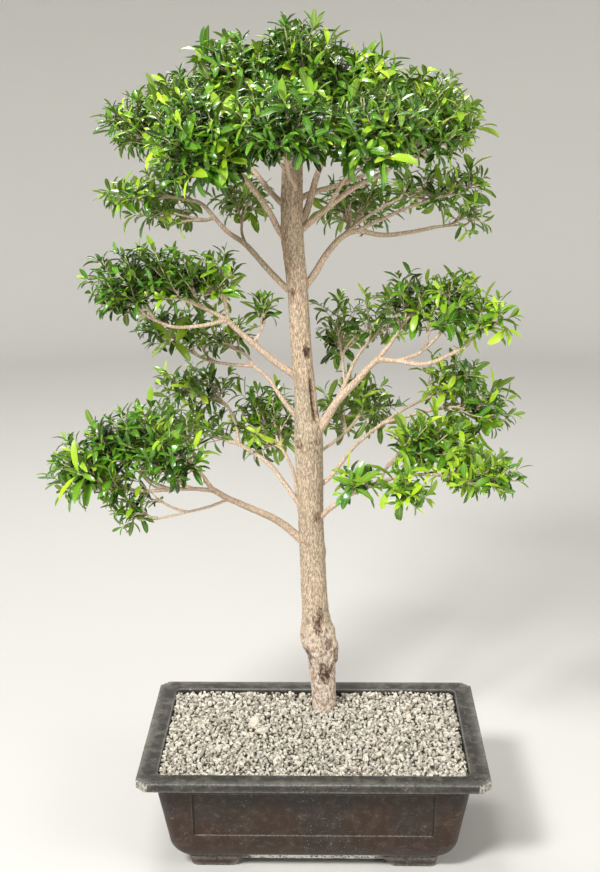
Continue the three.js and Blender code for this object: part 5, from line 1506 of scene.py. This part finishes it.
class BONSAI_OT_gravel(bpy.types.Operator):
    """Lays the gravel on the soil"""
    bl_idname = "bonsai.gravel"
    bl_label = "Gravel"

    def execute(self, context):
        gravel = context.scene.bonsai_gravel
        rng = np.random.default_rng(SEED)
        skin = Skin()
        add_gravel_bed(skin)
        # The bed is darkened almost wholly to painted shade, for the shade in the gaps between the loose
        # grains.
        bed = skin.to_object("gravel_bed", POT_MIDDLE, [gravel_stone(gravel, "Packed Gravel Painted Shade", 0.93)])
        settle(bed, "grit", "grit")
        stones = Skin()
        grain = gravel.grain / MM
        for spacing, depth in GRAIN_LAYERS:
            places = gravel_places(spacing * grain, GRIT_TOP - depth, rng)
            sizes = np.clip(np.exp(rng.normal(-0.06, 0.22, len(places))), 0.6, 1.5)
            add_stones(stones, places, grain * sizes, rng)
        large = np.array(LARGE_STONES, dtype=float)
        places = np.column_stack([large[:, :2], GRIT_TOP + 0.5 + heap(*large[:, :2].T)])
        add_stones(stones, places, large[:, 2], rng, most_tint=0.1, least_warm=0.22)
        loose = [gravel_stone(gravel, "Loose Gravel", 0.0)]
        settle(stones.to_object("gravel", POT_MIDDLE, loose, smooth=False), "grit", "grit")
        return {"FINISHED"}


class BONSAI_OT_trunk(bpy.types.Operator):
    """Builds the trunk with its bark"""
    bl_idname = "bonsai.trunk"
    bl_label = "Trunk"

    def execute(self, context):
        wood = context.scene.bonsai_wood
        bark_grain_group()
        points, values = trunk_shape(wood.relief / MM)
        skin = Skin()
        faces = [kind(TRUNK_ROWS, TRUNK_COLUMNS) for kind in (grid_quads, end_fans)]
        skin.add(points, faces, [0, 0], values)
        settle(skin.to_object("trunk_bark", TREE_FOOT, [trunk_bark(wood)]), "bark", "trunk")
        return {"FINISHED"}


class BONSAI_OT_limbs(bpy.types.Operator):
    """Builds the limbs, each swollen into a collar at its root"""
    bl_idname = "bonsai.limbs"
    bl_label = "Limbs"

    def execute(self, context):
        names = list(LIMBS)
        lines = np.stack([passing_through(LIMBS[name][2:], LIMB_STEPS) for name in names])
        root, end = 2 * limb_radius(np.array([LIMBS[name][:2] for name in names]).T[..., None])
        share = np.linspace(0, 1, LIMB_STEPS)[None]
        length = np.linalg.norm(np.diff(lines, axis=1), axis=2).sum(axis=1)[:, None]
        run = share * length
        radius = (root + (end - root) * share) / 2 + 0.16 * root * np.exp(-run / (0.9 * root))
        number = np.arange(len(names))[:, None, None]
        around = (np.arange(LIMB_SIDES) / LIMB_SIDES)[None, None]
        lumps = lattice_noise(around * 5, run[..., None] / 9 + 17 * number, 15, 5)
        rings = lattice_noise(0 * around, run[..., None] / 3.5 + 29 * number, 16)
        radii = radius[..., None] * (1 + 0.07 * lumps + 0.035 * rings)
        skin = Skin()
        add_tubes(skin, lines, radii, LIMB_SIDES, 0, {"crack": 0.35 * np.exp(-run / (0.55 * root))})
        settle(skin.to_object("limbs", TREE_FOOT, [limb_bark(context.scene.bonsai_wood)]), "bark", "trunk")
        return {"FINISHED"}


class BONSAI_OT_sprays(bpy.types.Operator):
    """Grows the leafy sprays on the ends of the limbs"""
    bl_idname = "bonsai.sprays"
    bl_label = "Leafy Sprays"

    def execute(self, context):
        leaf = context.scene.bonsai_leaf
        leaf_vein_group()
        materials = [twig_bark(context.scene.bonsai_wood), leaf_top(leaf), leaf_under(leaf)]
        for number, name in enumerate(SPRAYS):
            skin = Skin()
            rims = add_spray(skin, name, np.random.default_rng(SEED + 100 + number), leaf)
            piece = skin.to_object("foliage_" + name, TREE_FOOT, materials, sharp=rims)
            settle(piece, "leaf", "spray_" + name)
        return {"FINISHED"}


class BONSAI_PT_sidebar(bpy.types.Panel):
    """Lists the steps in their order, with their settings"""
    bl_idname = "BONSAI_PT_sidebar"
    bl_label = "Brush Cherry Bonsai"
    bl_space_type = "VIEW_3D"
    bl_region_type = "UI"
    bl_category = "Bonsai"

    def draw(self, context):
        scene = context.scene
        for operator, settings in STEPS:
            box = self.layout.box()
            box.operator(operator.bl_idname)
            for group in settings:
                values = getattr(scene, group)
                for key in values.__annotations__:
                    box.prop(values, key)


SETTINGS = {
    "bonsai_stage": StageSettings,
    "bonsai_pot": PotSettings,
    "bonsai_gravel": GravelSettings,
    "bonsai_wood": WoodSettings,
    "bonsai_leaf": LeafSettings,
}
STEPS = (
    (BONSAI_OT_stage, ["bonsai_stage"]),
    (BONSAI_OT_pot, ["bonsai_pot"]),
    (BONSAI_OT_filling, []),
    (BONSAI_OT_gravel, ["bonsai_gravel"]),
    (BONSAI_OT_trunk, ["bonsai_wood"]),
    (BONSAI_OT_limbs, []),
    (BONSAI_OT_sprays, ["bonsai_leaf"]),
)
CLASSES = (*SETTINGS.values(), *(operator for operator, _ in STEPS), BONSAI_PT_sidebar)


def register():
    for made in CLASSES:
        bpy.utils.register_class(made)
    for name, group in SETTINGS.items():
        setattr(bpy.types.Scene, name, bpy.props.PointerProperty(type=group))


def unregister():
    for name in SETTINGS:
        delattr(bpy.types.Scene, name)
    for made in reversed(CLASSES):
        bpy.utils.unregister_class(made)


def main():
    register()
    bpy.ops.bonsai.stage()
    bpy.ops.bonsai.pot()
    bpy.ops.bonsai.filling()
    bpy.ops.bonsai.gravel()
    bpy.ops.bonsai.trunk()
    bpy.ops.bonsai.limbs()
    bpy.ops.bonsai.sprays()


if __name__ == "__main__":
    main()
